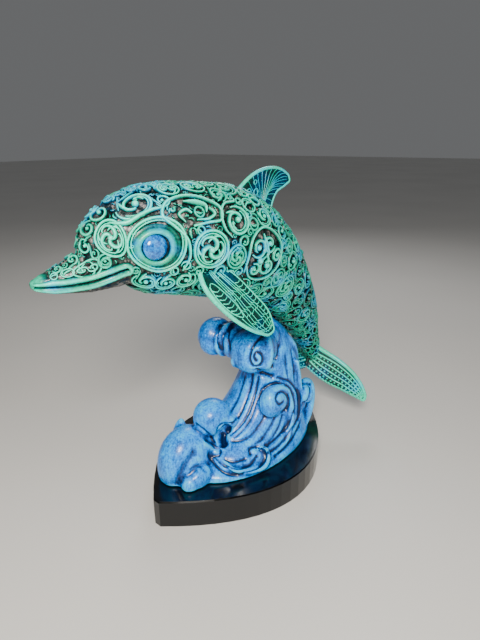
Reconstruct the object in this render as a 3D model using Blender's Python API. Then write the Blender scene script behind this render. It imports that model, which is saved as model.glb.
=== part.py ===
"""A filigree dolphin leaping over a breaking wave, on a low pointed oval plinth.

The dolphin heads along -X with its left side towards -Y, and +Z is up. The origin is the middle of
the plinth's underside. The dolphin and the wave are single castings, and the eyes are set stones.
The figures are drawn in millimetres at the model's own size, and one scale turns them into metres.
"""

import math

import bmesh
import bpy
import numpy as np
from mathutils import Vector

MM = 0.001

# Plinth: a pointed oval board with crisp upright walls.
PLINTH_LENGTH = 171 * MM
PLINTH_WIDTH = 108 * MM
PLINTH_HEIGHT = 19 * MM
PLINTH_TIP_FLAT = 5 * MM
PLINTH_ARRIS = 0.8 * MM
PLINTH_STEPS = 22

# Wave: from the plinth's top to the top of the crest. It was drawn at the sizes that follow, over a
# plinth of the drawn length, width and height, and it grows with them.
WAVE_HEIGHT = 100 * MM
WAVE_DRAWN_HEIGHT = 100
PLINTH_DRAWN_LENGTH = 171
PLINTH_DRAWN_WIDTH = 108
PLINTH_DRAWN_HEIGHT = 19

# Dolphin: drawn 222 mm from the snout to the root of the flukes.
DOLPHIN_LENGTH = 222 * MM
DOLPHIN_DRAWN_LENGTH = 222

# Eyes: round cabochons, each in its own socket.
EYE_RADIUS = 6.6 * MM
EYE_DOME = 3.6 * MM
EYE_SINK = 1.0 * MM
EYE_SIDES = 16
EYE_LEVELS = 8

# Pieces that touch keep this gap.
GAP = 0.3 * MM

# The point where the belly lies on the wave: the dolphin grows and shrinks about it.
SADDLE = (28.0, 0.0, 98.0)

# Edges that turn by more than this stay crisp.
CRISP_ABOVE = math.radians(50)


def paint(name, colour, roughness, metallic=0.0):
    """A plain finish in the piece's own colour."""
    material = bpy.data.materials.new(name)
    material.use_nodes = True
    shader = material.node_tree.nodes["Principled BSDF"]
    shader.inputs["Base Color"].default_value = (*colour, 1.0)
    shader.inputs["Roughness"].default_value = roughness
    shader.inputs["Metallic"].default_value = metallic
    return material


def add_object(name, mesh, collection, material=None):
    """Puts a mesh in the scene as an object of its own."""
    item = bpy.data.objects.new(name, mesh)
    collection.objects.link(item)
    if material:
        mesh.materials.append(material)
    mesh.shade_smooth()
    mesh.set_sharp_from_angle(angle=CRISP_ABOVE)
    return item


def helper(name, mesh):
    """A solid that only cuts or joins another, kept out of the picture."""
    item = add_object(name, mesh, cutters)
    item.hide_render = True
    item.display_type = "WIRE"
    return item


def boolean(target, operand, operation, solver="EXACT"):
    modifier = target.modifiers.new(f"{operation.lower()} {operand.name}", "BOOLEAN")
    modifier.operation = operation
    modifier.solver = solver
    modifier.object = operand


def join_cord(target, cord):
    """The cords are closed and lie half sunk along the hide, where the exact solver slips."""
    boolean(target, cord, "UNION", "MANIFOLD")


def loft(name, rings):
    """A closed skin through rings of equal count, with a flat cap on each end."""
    bm = bmesh.new()
    rows = [[bm.verts.new(point) for point in ring] for ring in rings]
    for first, second in zip(rows, rows[1:]):
        for i in range(len(first)):
            j = (i + 1) % len(first)
            bm.faces.new((first[i], first[j], second[j], second[i]))
    bm.faces.new(reversed(rows[0]))
    bm.faces.new(rows[-1])
    bmesh.ops.recalc_face_normals(bm, faces=bm.faces)
    mesh = bpy.data.meshes.new(name)
    bm.to_mesh(mesh)
    bm.free()
    return mesh


def smooth_rows(stations, count, places=3):
    """Rows read evenly along a smooth curve through stations, whose first columns are places."""
    rows = np.array(stations, float)
    steps = np.linalg.norm(np.diff(rows[:, :places], axis=0), axis=1)
    at = np.concatenate([[0.0], np.cumsum(steps)])
    slope = np.gradient(rows, at, axis=0)
    read = np.linspace(0.0, at[-1], count)
    i = np.clip(np.searchsorted(at, read, side="right") - 1, 0, len(at) - 2)
    span = (at[i + 1] - at[i])[:, None]
    t = (read - at[i])[:, None] / span
    return (
        rows[i] * (1 + 2 * t) * (1 - t) ** 2
        + slope[i] * span * t * (1 - t) ** 2
        + rows[i + 1] * t**2 * (3 - 2 * t)
        - slope[i + 1] * span * t**2 * (1 - t)
    )


def unit(vectors):
    return vectors / np.linalg.norm(vectors, axis=-1, keepdims=True)


def oval(count, power=2.0):
    """Points of a unit oval, squarer as its power grows."""
    turn = np.arange(count) * math.tau / count
    across, up = np.cos(turn), np.sin(turn)
    return (
        np.sign(across) * np.abs(across) ** (2 / power),
        np.sign(up) * np.abs(up) ** (2 / power),
    )


# The plinth

def plinth_mesh():
    """A board whose half width falls off as a parabola from its middle to its blunt tips."""
    reach = PLINTH_LENGTH / 2
    half = PLINTH_WIDTH / 2
    tip = reach * math.sqrt(1 - PLINTH_TIP_FLAT / 2 / half)
    along = np.linspace(-tip, tip, PLINTH_STEPS)
    side = half * (1 - (along / reach) ** 2)
    outline = list(zip(along, side)) + list(zip(along[::-1], -side[::-1]))
    bm = bmesh.new()
    face = bm.faces.new([bm.verts.new((x, y, 0.0)) for x, y in outline])
    wall = bmesh.ops.extrude_face_region(bm, geom=[face])
    top = [item for item in wall["geom"] if isinstance(item, bmesh.types.BMVert)]
    bmesh.ops.translate(bm, verts=top, vec=(0, 0, PLINTH_HEIGHT))
    bmesh.ops.recalc_face_normals(bm, faces=bm.faces)
    rim = [e for e in bm.edges if all(v.co.z > PLINTH_HEIGHT / 2 for v in e.verts)]
    bmesh.ops.bevel(bm, geom=rim, offset=PLINTH_ARRIS, segments=2, affect="EDGES")
    mesh = bpy.data.meshes.new("plinth")
    bm.to_mesh(mesh)
    bm.free()
    return mesh


# The dolphin's body

# Stations from snout to tail: along, height over the ground, half height, half width.
BODY = (
    (-129.5, 165.8, 1.6, 2.4),
    (-126.5, 165.7, 3.6, 4.8),
    (-119.5, 165.8, 5.8, 7.0),
    (-110.0, 166.6, 8.4, 8.4),
    (-103.0, 167.8, 11.0, 9.4),
    (-97.0, 171.0, 15.6, 11.4),
    (-91.0, 175.2, 20.6, 15.6),
    (-82.0, 178.8, 25.4, 20.6),
    (-67.0, 180.2, 28.6, 26.0),
    (-42.0, 177.0, 31.2, 29.6),
    (-14.0, 170.2, 33.4, 30.6),
    (14.0, 155.6, 30.4, 27.8),
    (36.0, 138.0, 25.4, 22.8),
    (56.0, 118.6, 20.2, 17.6),
    (73.0, 97.0, 14.6, 12.4),
    (83.0, 79.0, 10.4, 9.0),
    (90.5, 62.0, 7.0, 7.0),
    (94.5, 50.0, 2.4, 6.0),
)
# The head turns to the right: the spine leaves the middle plane by this much at the snout.
HEAD_TURN = 21.5
HEAD_REACH = 128.0
BODY_SIDES = 20
BODY_RINGS = 36
BODY_SQUARENESS = 2.15
SPINE_STEPS = 400


def spine():
    """Centres, half heights and half widths along the spine, with the directions left and up."""
    rows = smooth_rows(BODY, SPINE_STEPS, places=2)
    turn = HEAD_TURN * (np.minimum(rows[:, 0], 0.0) / HEAD_REACH) ** 2
    centre = np.column_stack([rows[:, 0], turn, rows[:, 1]])
    ahead = unit(np.gradient(centre, axis=0))
    left = unit(np.cross(ahead, (0.0, 0.0, 1.0)))
    up = np.cross(left, ahead)
    at = np.concatenate([[0.0], np.cumsum(np.linalg.norm(np.diff(centre, axis=0), axis=1))])
    return at, centre, left, up, rows[:, 2], rows[:, 3]


SPINE = spine()
SPINE_LENGTH = SPINE[0][-1]


def spine_at(s):
    """The spine's centre, left, up, half height and half width, s mm from the snout."""
    at, *columns = SPINE
    read = []
    for column in columns:
        if column.ndim == 1:
            read.append(np.interp(s, at, column))
        else:
            read.append(np.array([np.interp(s, at, column[:, k]) for k in range(3)]))
    return read


def placed(point):
    """A drawn point of the dolphin, in metres on the wave."""
    scale = DOLPHIN_LENGTH / DOLPHIN_DRAWN_LENGTH
    drawn = np.asarray(point, float) - (0.0, 0.0, PLINTH_DRAWN_HEIGHT) - SADDLE
    saddle = np.array(
        [
            SADDLE[0] * PLINTH_LENGTH / PLINTH_DRAWN_LENGTH,
            SADDLE[1] * PLINTH_WIDTH / PLINTH_DRAWN_WIDTH,
            SADDLE[2] * WAVE_HEIGHT / WAVE_DRAWN_HEIGHT + PLINTH_HEIGHT,
        ]
    )
    return drawn * scale + saddle


def skin(s, angle, lift=0.0):
    """A drawn point on the hide: s mm from the snout, angle degrees up from the left flank."""
    centre, left, up, high, wide = spine_at(s)
    turn = math.radians(angle)
    across = math.copysign(abs(math.cos(turn)) ** (2 / BODY_SQUARENESS), math.cos(turn))
    rise = math.copysign(abs(math.sin(turn)) ** (2 / BODY_SQUARENESS), math.sin(turn))
    point = left * across * (wide + lift) + up * rise * (high + lift)
    return centre + point


def body_mesh(name, swell=0.0):
    rings = []
    for s in np.linspace(0.0, SPINE_LENGTH, BODY_RINGS):
        turns = np.arange(BODY_SIDES) * 360 / BODY_SIDES
        rings.append([placed(skin(s, angle, swell)) for angle in turns])
    return loft(name, rings)


# Fins

FIN_RIM = 2.6
FIN_HALF_RIM = 1.9
FIN_HALF_FIELD = 1.1
# The rim's section, as shares of its width and of its half thickness.
FIN_RIM_SECTION = ((0.0, 0.0), (0.25, 0.8), (0.75, 1.0))
FIELD_STARTS = 1.15
TIP_THICKNESS = 0.9
RIM_WIDEST_SHARE = 0.3
FIN_STEPS = 11
FLUKE_STEPS = 19


def blade_mesh(name, front, back, steps=FIN_STEPS, both_ends=False):
    """A fin between its front and back edges, given from root to tip, with a raised rim round a
    thinner field. With both_ends the edges run from one tip to the other."""
    lead = smooth_rows(front, steps)
    trail = smooth_rows(back, steps)
    outward = unit(np.gradient((lead + trail) / 2, axis=0))
    rings = []
    for i in range(steps):
        width = np.linalg.norm(trail[i] - lead[i])
        across = (trail[i] - lead[i]) / width
        face = unit(np.cross(outward[i], across))
        to_tip = steps - 1 - i
        if both_ends:
            to_tip = min(i, to_tip)
        field = FIN_HALF_FIELD if to_tip > 1 else FIN_HALF_RIM * TIP_THICKNESS
        edge = min(FIN_RIM, width * RIM_WIDEST_SHARE)
        near = [(share * edge, rise * FIN_HALF_RIM) for share, rise in FIN_RIM_SECTION]
        near.append((FIELD_STARTS * edge, field))
        profile = near + [(width - u, h) for u, h in near[::-1]]
        upper = [lead[i] + across * u + face * h for u, h in profile]
        lower = [lead[i] + across * u - face * h for u, h in profile[-2:0:-1]]
        rings.append([placed(point) for point in upper + lower])
    return loft(name, rings)


# Edges from the root to the tip, as drawn points.
DORSAL_FRONT = (
    (-13.0, 0.0, 192.0), (0.0, 0.0, 204.0), (14.0, 0.0, 212.0), (30.0, 0.0, 215.0), (45.0, 0.0, 212.4),
    (55.0, 0.0, 206.2),
)
DORSAL_BACK = (
    (26.0, 0.0, 168.0), (30.5, 0.0, 184.0), (33.0, 0.0, 191.0), (37.5, 0.0, 197.0), (46.0, 0.0, 200.8),
    (54.5, 0.0, 203.6),
)
PECTORAL_FRONT = (
    (-57.0, -19.0, 166.0), (-60.0, -26.0, 158.0), (-52.0, -34.0, 143.0), (-38.0, -41.0, 130.0),
    (-24.0, -43.0, 122.5),
)
PECTORAL_BACK = (
    (-43.0, -18.0, 166.0), (-39.0, -27.0, 161.0), (-30.0, -34.0, 149.0), (-22.0, -40.0, 136.0),
    (-19.5, -42.5, 125.0),
)
# The far fin is held up a little, level with the belly.
FAR_FIN_RAISE = 0.62
# Half of the flukes, from the notch behind the tail to the left tip.
FLUKE_FRONT = (
    (95.0, 0.0, 66.0), (96.0, -10.0, 62.0), (99.0, -24.0, 55.5), (101.0, -38.0, 46.0), (102.0, -47.0, 34.5),
    (101.5, -50.5, 26.5),
)
FLUKE_BACK = (
    (86.0, 0.0, 48.0), (87.0, -7.0, 43.2), (90.0, -19.0, 36.6), (94.0, -31.0, 32.5), (98.0, -42.0, 28.0),
    (101.0, -49.5, 25.2),
)


def far_fin(edge):
    """The pectoral's edge on the far side of the turned head, raised the further out it is."""
    middle = 2 * HEAD_TURN * (edge[0][0] / HEAD_REACH) ** 2
    root = -edge[0][1]
    return tuple((x, middle - y, z + FAR_FIN_RAISE * max(0.0, -y - root)) for x, y, z in edge)


def both_lobes(edge):
    """The flukes' edge from the right tip over the middle to the left tip."""
    return tuple((x, -y, z) for x, y, z in edge[:0:-1]) + edge


# Larger scrollwork on the hide

RIDGE = 1.5
RIDGE_LIFT = 0.2
LIP = 1.4
LIP_LIFT = 0.1
RIDGE_STEPS = 12

# Rings that stand proud of each flank: along, angle, half length, half height, tilt.
FLANK_RINGS = (
    (40.5, 35.0, 4.4, 6.2, -12.0),
    (57.0, 60.0, 9.6, 5.2, 10.0),
    (79.0, 41.0, 12.0, 7.6, -15.0),
    (86.0, -3.0, 10.2, 10.2, 0.0),
    (124.0, -3.0, 13.5, 15.0, -25.0),
)
EYE_AT = (58.0, 2.0)
EYE_RING = 14.0
EYE_COLLAR = 9.0
# The mouth line, from the snout to the corner: along, angle.
MOUTH = ((7.5, -7.0), (13.0, -10.0), (20.0, -12.0), (28.0, -11.5), (35.0, -12.5), (40.0, -13.0))
LIP_APART = 2.1


def beside(s, angle, along, across, lift=0.0, side=1):
    """A drawn point on the hide, moved in mm along and across it from (s, angle)."""
    high, wide = spine_at(s)[3:]
    turn = angle + math.degrees(across / ((high + wide) / 2))
    return skin(s + along, turn if side > 0 else 180 - turn, lift)


def ring_on_hide(s, angle, half_long, half_high, tilt, side):
    cos, sin = math.cos(math.radians(tilt)), math.sin(math.radians(tilt))
    points = []
    for turn in np.arange(RIDGE_STEPS) * math.tau / RIDGE_STEPS:
        u, v = half_long * math.cos(turn), half_high * math.sin(turn)
        points.append(placed(beside(s, angle, u * cos - v * sin, u * sin + v * cos, RIDGE_LIFT, side)))
    return points


def lip_points(side):
    """A long loop: back along the upper lip to the corner, and forward along the lower lip."""
    upper = [placed(beside(s, a, 0.0, LIP_APART, LIP_LIFT, side)) for s, a in MOUTH]
    lower = [placed(beside(s, a, 0.0, -LIP_APART, LIP_LIFT, side)) for s, a in MOUTH]
    return upper + lower[::-1]


def ridge_mesh(name, points, radius):
    """A round cord of metal laid along a closed loop of points."""
    curve = bpy.data.curves.new(name, "CURVE")
    curve.dimensions = "3D"
    curve.bevel_depth = radius * MM
    curve.bevel_resolution = 0
    line = curve.splines.new("POLY")
    line.points.add(len(points) - 1)
    for knot, point in zip(line.points, points):
        knot.co = (*point, 1.0)
    line.use_cyclic_u = True
    guide = bpy.data.objects.new(name, curve)
    cutters.objects.link(guide)
    graph = bpy.context.evaluated_depsgraph_get()
    mesh = bpy.data.meshes.new_from_object(guide.evaluated_get(graph))
    bpy.data.objects.remove(guide, do_unlink=True)
    bm = bmesh.new()
    bm.from_mesh(mesh)
    bmesh.ops.recalc_face_normals(bm, faces=bm.faces)
    bm.to_mesh(mesh)
    bm.free()
    return mesh


# The eyes

def eye_mesh(name, side, swell=0.0):
    """A round cabochon whose flat back is sunk in the head."""
    seat = Vector(placed(skin(EYE_AT[0], EYE_AT[1] if side > 0 else 180 - EYE_AT[1], 0.0)))
    centre = Vector(placed(spine_at(EYE_AT[0])[0]))
    outward = (seat - centre).normalized()
    bm = bmesh.new()
    bmesh.ops.create_uvsphere(
        bm, u_segments=EYE_SIDES, v_segments=EYE_LEVELS, radius=EYE_RADIUS + swell
    )
    bmesh.ops.scale(bm, verts=bm.verts, vec=(1, 1, (EYE_DOME + swell) / (EYE_RADIUS + swell)))
    turn = outward.to_track_quat("Z", "Y").to_matrix()
    bmesh.ops.rotate(bm, verts=bm.verts, matrix=turn)
    bmesh.ops.translate(bm, verts=bm.verts, vec=seat - outward * EYE_SINK)
    mesh = bpy.data.meshes.new(name)
    bm.to_mesh(mesh)
    bm.free()
    return mesh


# The wave

# Levels of the wave's bulk: height over the plinth, middle x and y, half length and half width.
BULK = (
    (0.0, 5.0, -2.0, 59.0, 35.0),
    (7.0, 7.0, -2.0, 56.0, 33.0),
    (17.0, 14.0, -2.0, 46.0, 29.0),
    (31.0, 22.0, -3.0, 35.0, 25.0),
    (46.0, 27.0, -4.0, 27.0, 22.0),
    (61.0, 29.0, -6.0, 24.0, 20.0),
    (76.0, 26.5, -6.5, 22.5, 18.5),
    (88.0, 20.5, -4.0, 16.5, 15.5),
    (95.0, 16.0, -3.0, 11.0, 11.0),
)
BULK_SIDES = 24
BULK_LEVELS = 12

# Curled bands: name, centre, outer radius, inner radius, start in degrees, turns (clockwise when
# negative), width, thickness, and the points that the band runs up from.
CURLS = (
    ("crest barrel", (-6.0, -17.0, 80.5), 14.6, 4.0, 60.0, 1.3, 28.0, 3.6,
     ((30.0, -17.0, 30.0), (28.0, -17.0, 55.0), (22.0, -17.0, 78.0), (12.0, -17.0, 91.0))),
    ("crest flute", (-7.5, 2.0, 83.5), 12.0, 4.0, 60.0, 1.2, 12.0, 3.4,
     ((30.0, 2.0, 30.0), (28.0, 2.0, 55.0), (20.0, 2.0, 76.0), (8.0, 2.0, 91.0))),
    ("crest end", (-8.5, 15.0, 86.0), 10.6, 3.6, 60.0, 1.2, 16.0, 4.2,
     ((30.0, 8.0, 30.0), (28.0, 10.0, 55.0), (18.0, 13.5, 78.0), (7.0, 15.0, 92.0))),
    ("flank curl", (5.0, -27.0, 41.0), 11.4, 2.8, -20.0, 1.4, 12.0, 3.6,
     ((-4.0, -33.0, 2.0), (10.0, -32.0, 14.0), (17.0, -29.0, 28.0))),
    ("outer curl", (50.0, -21.0, 30.0), 6.5, 2.2, -20.0, 1.3, 12.0, 3.0,
     ((40.0, -26.0, 2.0), (52.0, -24.0, 12.0), (58.0, -22.0, 24.0))),
    ("front curl", (-33.0, -2.0, 37.0), 10.6, 3.0, 200.0, -1.25, 20.0, 3.6,
     ((-50.0, 2.0, 6.0), (-49.0, 1.0, 18.0), (-46.0, 0.0, 28.0))),
    ("shell curl", (-15.0, -31.0, 14.0), 7.5, 2.2, -80.0, 1.3, 9.0, 2.8,
     ((-46.0, -14.0, 18.0), (-41.0, -22.0, 9.0), (-28.0, -30.0, 5.0))),
)
CURL_STEPS_A_TURN = 10
RUN_STEPS = 5
CURL_SIDES = 6
CURL_SQUARENESS = 2.6
# How far a band thins and narrows by the end of its spiral.
CURL_THINS = 0.35
CURL_NARROWS = 0.12

# Rounded swells, under the crest and at the wave's foot: centre and half sizes.
SWELLS = (
    ("crest brow", (9.0, -3.0, 86.0), (16.0, 19.0, 10.5)),
    ("front mound", (-50.0, 7.0, 8.0), (21.0, 16.0, 25.0)),
    ("foot swell", (-57.0, -8.0, 4.0), (9.0, 7.0, 9.0)),
    ("horn", (-44.0, 18.0, 22.0), (4.5, 5.0, 10.0)),
)
SWELL_SIDES = 12
SWELL_LEVELS = 7


def on_plinth(point):
    """A drawn point of the wave, in metres: its plan follows the plinth and its rise the crest."""
    x, y, z = point
    return (
        x * PLINTH_LENGTH / PLINTH_DRAWN_LENGTH,
        y * PLINTH_WIDTH / PLINTH_DRAWN_WIDTH,
        PLINTH_HEIGHT + GAP + z * WAVE_HEIGHT / WAVE_DRAWN_HEIGHT,
    )


def bulk_mesh():
    levels = smooth_rows(BULK, BULK_LEVELS, places=1)
    across, up = oval(BULK_SIDES)
    rings = []
    for z, x, y, half_long, half_wide in levels:
        rings.append([on_plinth((x + half_long * c, y + half_wide * s, z)) for c, s in zip(across, up)])
    return loft("wave", rings)


def curl_mesh(name, centre, outer, inner, start, turns, width, thick, run):
    """A band that runs up and rolls into a spiral, its width lying across the wave."""
    count = round(abs(turns) * CURL_STEPS_A_TURN)
    path = []
    for i in range(count + 1):
        part = i / count
        angle = math.radians(start + 360 * turns * part)
        radius = outer + (inner - outer) * part
        path.append((centre[0] + radius * math.cos(angle), centre[1], centre[2] + radius * math.sin(angle)))
    path = [tuple(row) for row in smooth_rows(run + (path[0],), RUN_STEPS)][:-1] + path
    line = np.array(path)
    ahead = unit(np.gradient(line, axis=0))
    side = unit(np.cross(ahead, np.cross((0.0, 1.0, 0.0), ahead)))
    out = np.cross(ahead, side)
    across, up = oval(CURL_SIDES, CURL_SQUARENESS)
    rings = []
    for i, point in enumerate(line):
        late = max(0.0, (i - RUN_STEPS) / count)
        half_thick = thick / 2 * (1 - CURL_THINS * late)
        half_width = width / 2 * (1 - CURL_NARROWS * late)
        along, over = side[i] * half_width, out[i] * half_thick
        rings.append([on_plinth(point + along * c + over * s) for c, s in zip(across, up)])
    return loft(name, rings)


def swell_mesh(name, centre, half):
    bm = bmesh.new()
    bmesh.ops.create_uvsphere(bm, u_segments=SWELL_SIDES, v_segments=SWELL_LEVELS, radius=1.0)
    for vert in bm.verts:
        drawn = [c + h * v for c, h, v in zip(centre, half, vert.co)]
        vert.co = on_plinth(drawn)
    floor = (0, 0, PLINTH_HEIGHT + GAP)
    parts = bm.verts[:] + bm.edges[:] + bm.faces[:]
    cut = bmesh.ops.bisect_plane(
        bm, geom=parts, plane_co=floor, plane_no=(0, 0, -1), clear_outer=True
    )
    edges = [item for item in cut["geom_cut"] if isinstance(item, bmesh.types.BMEdge)]
    if edges:
        bmesh.ops.edgeloop_fill(bm, edges=edges)
    bmesh.ops.recalc_face_normals(bm, faces=bm.faces)
    mesh = bpy.data.meshes.new(name)
    bm.to_mesh(mesh)
    bm.free()
    return mesh


# The statue

for item in list(bpy.data.objects):
    bpy.data.objects.remove(item, do_unlink=True)
statue = bpy.data.collections.new("Filigree dolphin")
cutters = bpy.data.collections.new("Cutters")
for collection in (statue, cutters):
    bpy.context.scene.collection.children.link(collection)

verdigris = paint("verdigris paint", (0.02, 0.42, 0.33), 0.45)
sea_blue = paint("sea blue paint", (0.06, 0.22, 0.68), 0.35)
black_gloss = paint("black gloss", (0.004, 0.004, 0.005), 0.12)
blue_stone = paint("blue stone", (0.03, 0.14, 0.5), 0.12)

plinth = add_object("plinth", plinth_mesh(), statue, black_gloss)

dolphin = add_object("dolphin", body_mesh("dolphin"), statue, verdigris)
fins = {
    "dorsal fin": (DORSAL_FRONT, DORSAL_BACK),
    "left pectoral": (PECTORAL_FRONT, PECTORAL_BACK),
    "right pectoral": (far_fin(PECTORAL_FRONT), far_fin(PECTORAL_BACK)),
}
for name, (front, back) in fins.items():
    boolean(dolphin, helper(name, blade_mesh(name, front, back)), "UNION")
flukes = blade_mesh("flukes", both_lobes(FLUKE_FRONT), both_lobes(FLUKE_BACK), FLUKE_STEPS, True)
boolean(dolphin, helper("flukes", flukes), "UNION")
for side, hand in ((1, "left"), (-1, "right")):
    for number, ring in enumerate(FLANK_RINGS):
        points = ring_on_hide(*ring, side)
        name = f"{hand} ring {number + 1}"
        join_cord(dolphin, helper(name, ridge_mesh(name, points, RIDGE)))
    for name, radius in ((f"{hand} eye ring", EYE_RING), (f"{hand} eye collar", EYE_COLLAR)):
        points = ring_on_hide(*EYE_AT, radius, radius, 0.0, side)
        join_cord(dolphin, helper(name, ridge_mesh(name, points, RIDGE)))
    name = f"{hand} lips"
    join_cord(dolphin, helper(name, ridge_mesh(name, lip_points(side), LIP)))

for side, hand in ((1, "left"), (-1, "right")):
    socket = helper(f"{hand} socket", eye_mesh("socket", side, GAP))
    boolean(dolphin, socket, "DIFFERENCE")
    add_object(f"{hand}_eye", eye_mesh(f"{hand} eye", side), statue, blue_stone)

wave = add_object("wave", bulk_mesh(), statue, sea_blue)
for name, *shape in CURLS:
    boolean(wave, helper(name, curl_mesh(name, *shape)), "UNION")
for name, centre, half in SWELLS:
    boolean(wave, helper(name, swell_mesh(name, centre, half)), "UNION")
seat = helper("belly seat", body_mesh("belly seat", GAP / MM))
boolean(wave, seat, "DIFFERENCE")
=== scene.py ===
"""A filigree dolphin statue: a painted resin casting that leaps over a curling wave, on a black plinth."""

import math

import bmesh
import bpy
import numpy as np
from mathutils import Euler, Matrix, Vector, bvhtree, kdtree, noise


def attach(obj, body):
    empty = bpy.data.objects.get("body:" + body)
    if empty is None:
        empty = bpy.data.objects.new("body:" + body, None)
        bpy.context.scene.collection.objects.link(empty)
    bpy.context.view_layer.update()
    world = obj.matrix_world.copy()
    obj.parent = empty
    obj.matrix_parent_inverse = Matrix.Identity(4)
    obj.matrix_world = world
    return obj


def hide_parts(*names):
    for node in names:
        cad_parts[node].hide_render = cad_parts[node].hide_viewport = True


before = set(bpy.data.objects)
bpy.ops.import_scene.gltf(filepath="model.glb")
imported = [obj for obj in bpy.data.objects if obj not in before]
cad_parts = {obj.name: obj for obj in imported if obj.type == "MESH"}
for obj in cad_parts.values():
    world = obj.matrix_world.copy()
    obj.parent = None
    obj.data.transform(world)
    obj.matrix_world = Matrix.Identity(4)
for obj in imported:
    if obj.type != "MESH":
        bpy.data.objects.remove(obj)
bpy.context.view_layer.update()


# Where it is seen from
# The camera stands a little above the dolphin's head, ahead of its left side, and looks down at it.

CAMERA_AT = Vector((-0.2324, -0.1978, 0.2304))
HEADING = 49.5
LOOKS_DOWN = 20.61
LEANS = -0.52
FOCAL_MM = 27
SENSOR_MM = 36
PICTURE_WIDTH, PICTURE_HEIGHT = 480, 640
# How many pixels a thing covers that is as wide as it is far away.
PIXELS_AHEAD = FOCAL_MM / SENSOR_MM * PICTURE_HEIGHT

eye = bpy.data.cameras.new("camera")
eye.lens = FOCAL_MM
eye.sensor_width = SENSOR_MM
eye.clip_start = 0.01
camera = bpy.data.objects.new("camera", eye)
bpy.context.scene.collection.objects.link(camera)
facing = Euler((math.radians(90 - LOOKS_DOWN), 0, math.radians(-HEADING))).to_matrix()
facing = facing @ Matrix.Rotation(math.radians(LEANS), 3, "Z")
camera.matrix_world = Matrix.Translation(CAMERA_AT) @ facing.to_4x4()
bpy.context.scene.camera = camera


def sight(px, py):
    """The direction in which the camera sees a pixel of its picture."""
    aside, above = px - PICTURE_WIDTH / 2, PICTURE_HEIGHT / 2 - py
    return (facing @ Vector((aside / PIXELS_AHEAD, above / PIXELS_AHEAD, -1))).normalized()


# The plinth
# A low pointed oval board, lacquered gloss black. It is cut and rounded as the model has it.
# Its lacquer lies a little unevenly, so lamps smear in it, and fine dust shows on its top.

MM = 0.001


def linear(colour, alpha=1.0):
    """An sRGB hex colour in the linear values that a shader takes."""
    parts = [int(colour[i:i + 2], 16) / 255 for i in (1, 3, 5)]
    return (*((c / 12.92 if c <= 0.04045 else ((c + 0.055) / 1.055) ** 2.4) for c in parts), alpha)


def add(material, kind, settings=None, stops=(), **links):
    """Adds a node: settings and inputs by name, an input's value or socket, and a ramp's colour stops."""
    made = material.node_tree.nodes.new(kind)
    for name, value in (settings or {}).items():
        setattr(made, name, value)
    if stops:
        line = made.color_ramp.elements
        while len(line) < len(stops):
            line.new(0.5)
        for element, (place, colour) in zip(line, stops):
            element.position = place
            element.color = linear(colour)
    for name, value in links.items():
        key = int(name[1:]) if name[0] == "i" and name[1:].isdigit() else name.replace("_", " ")
        if isinstance(value, bpy.types.NodeSocket):
            material.node_tree.links.new(value, made.inputs[key])
        else:
            made.inputs[key].default_value = value
    return made


def finish_named(name):
    """A new material and its shader."""
    material = bpy.data.materials.new(name)
    material.use_nodes = True
    return material, material.node_tree.nodes["Principled BSDF"]


# Brushed gloss lacquer: deep black, glassy, with slow ripples and a few grains of dust.
lacquer, shader = finish_named("gloss black lacquer")
place = add(lacquer, "ShaderNodeTexCoord").outputs["Object"]
ripple = add(lacquer, "ShaderNodeTexNoise", Vector=place, Scale=1 / (14 * MM), Detail=2.0)
dust = add(lacquer, "ShaderNodeTexNoise", Vector=place, Scale=1 / (0.9 * MM), Detail=3.0)
DUST_TONES = ((0.0, "#07080a"), (0.66, "#08090b"), (0.74, "#24262a"))
dust_tone = add(lacquer, "ShaderNodeValToRGB", stops=DUST_TONES, Fac=dust.outputs["Fac"])
lacquer.node_tree.links.new(dust_tone.outputs["Color"], shader.inputs["Base Color"])
gloss = add(
    lacquer, "ShaderNodeMapRange", Value=ripple.outputs["Fac"], From_Min=0.3, From_Max=0.7,
    To_Min=0.14, To_Max=0.26,
)
lacquer.node_tree.links.new(gloss.outputs["Result"], shader.inputs["Roughness"])
swell = add(lacquer, "ShaderNodeBump", Height=ripple.outputs["Fac"], Strength=0.08, Distance=0.6 * MM)
lacquer.node_tree.links.new(swell.outputs["Normal"], shader.inputs["Normal"])
shader.inputs["Specular IOR Level"].default_value = 0.35
shader.inputs["Coat Weight"].default_value = 0.2
shader.inputs["Coat Roughness"].default_value = 0.08

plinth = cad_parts["plinth"]
for slot in plinth.material_slots:
    slot.material = lacquer


# The dolphin's hide
# A solid resin casting, smooth where it shows between the scrolls, with the floor of the carving
# painted near black and left rough. It carries all the raised filigree.

# Stations from snout to tail, in mm: along, height over the ground, half height, half width.
BODY = (
    (-129.5, 165.8, 1.6, 2.4), (-126.5, 165.7, 3.6, 4.8), (-119.5, 165.8, 5.8, 7.0),
    (-110.0, 166.6, 8.4, 8.4), (-103.0, 167.8, 11.0, 9.4), (-97.0, 171.0, 15.6, 11.4),
    (-91.0, 175.2, 20.6, 15.6), (-82.0, 178.8, 25.4, 20.6), (-67.0, 180.2, 28.6, 26.0),
    (-42.0, 177.0, 31.2, 29.6), (-14.0, 170.2, 33.4, 30.6), (14.0, 155.6, 30.4, 27.8),
    (36.0, 138.0, 25.4, 22.8), (56.0, 118.6, 20.2, 17.6), (73.0, 97.0, 14.6, 12.4),
    (83.0, 79.0, 10.4, 9.0), (90.5, 62.0, 7.0, 7.0), (94.5, 50.0, 2.4, 6.0),
)
HEAD_TURN = 21.5
HEAD_REACH = 128.0
SQUARENESS = 2.15
HIDE_RINGS = 400
HIDE_SIDES = 180
# The floor of the carving lies this far under the skin, with pits in it, and the mouth is cut deeper.
FLOOR_SINK = 0.9
PIT_DEPTH = 0.3
MOUTH_DEPTH = 1.0
MOUTH_HALF = 1.1
# The hide is closed to a point at the snout, so its sinking fades in over this length.
SNOUT_FADE = 55
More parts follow.
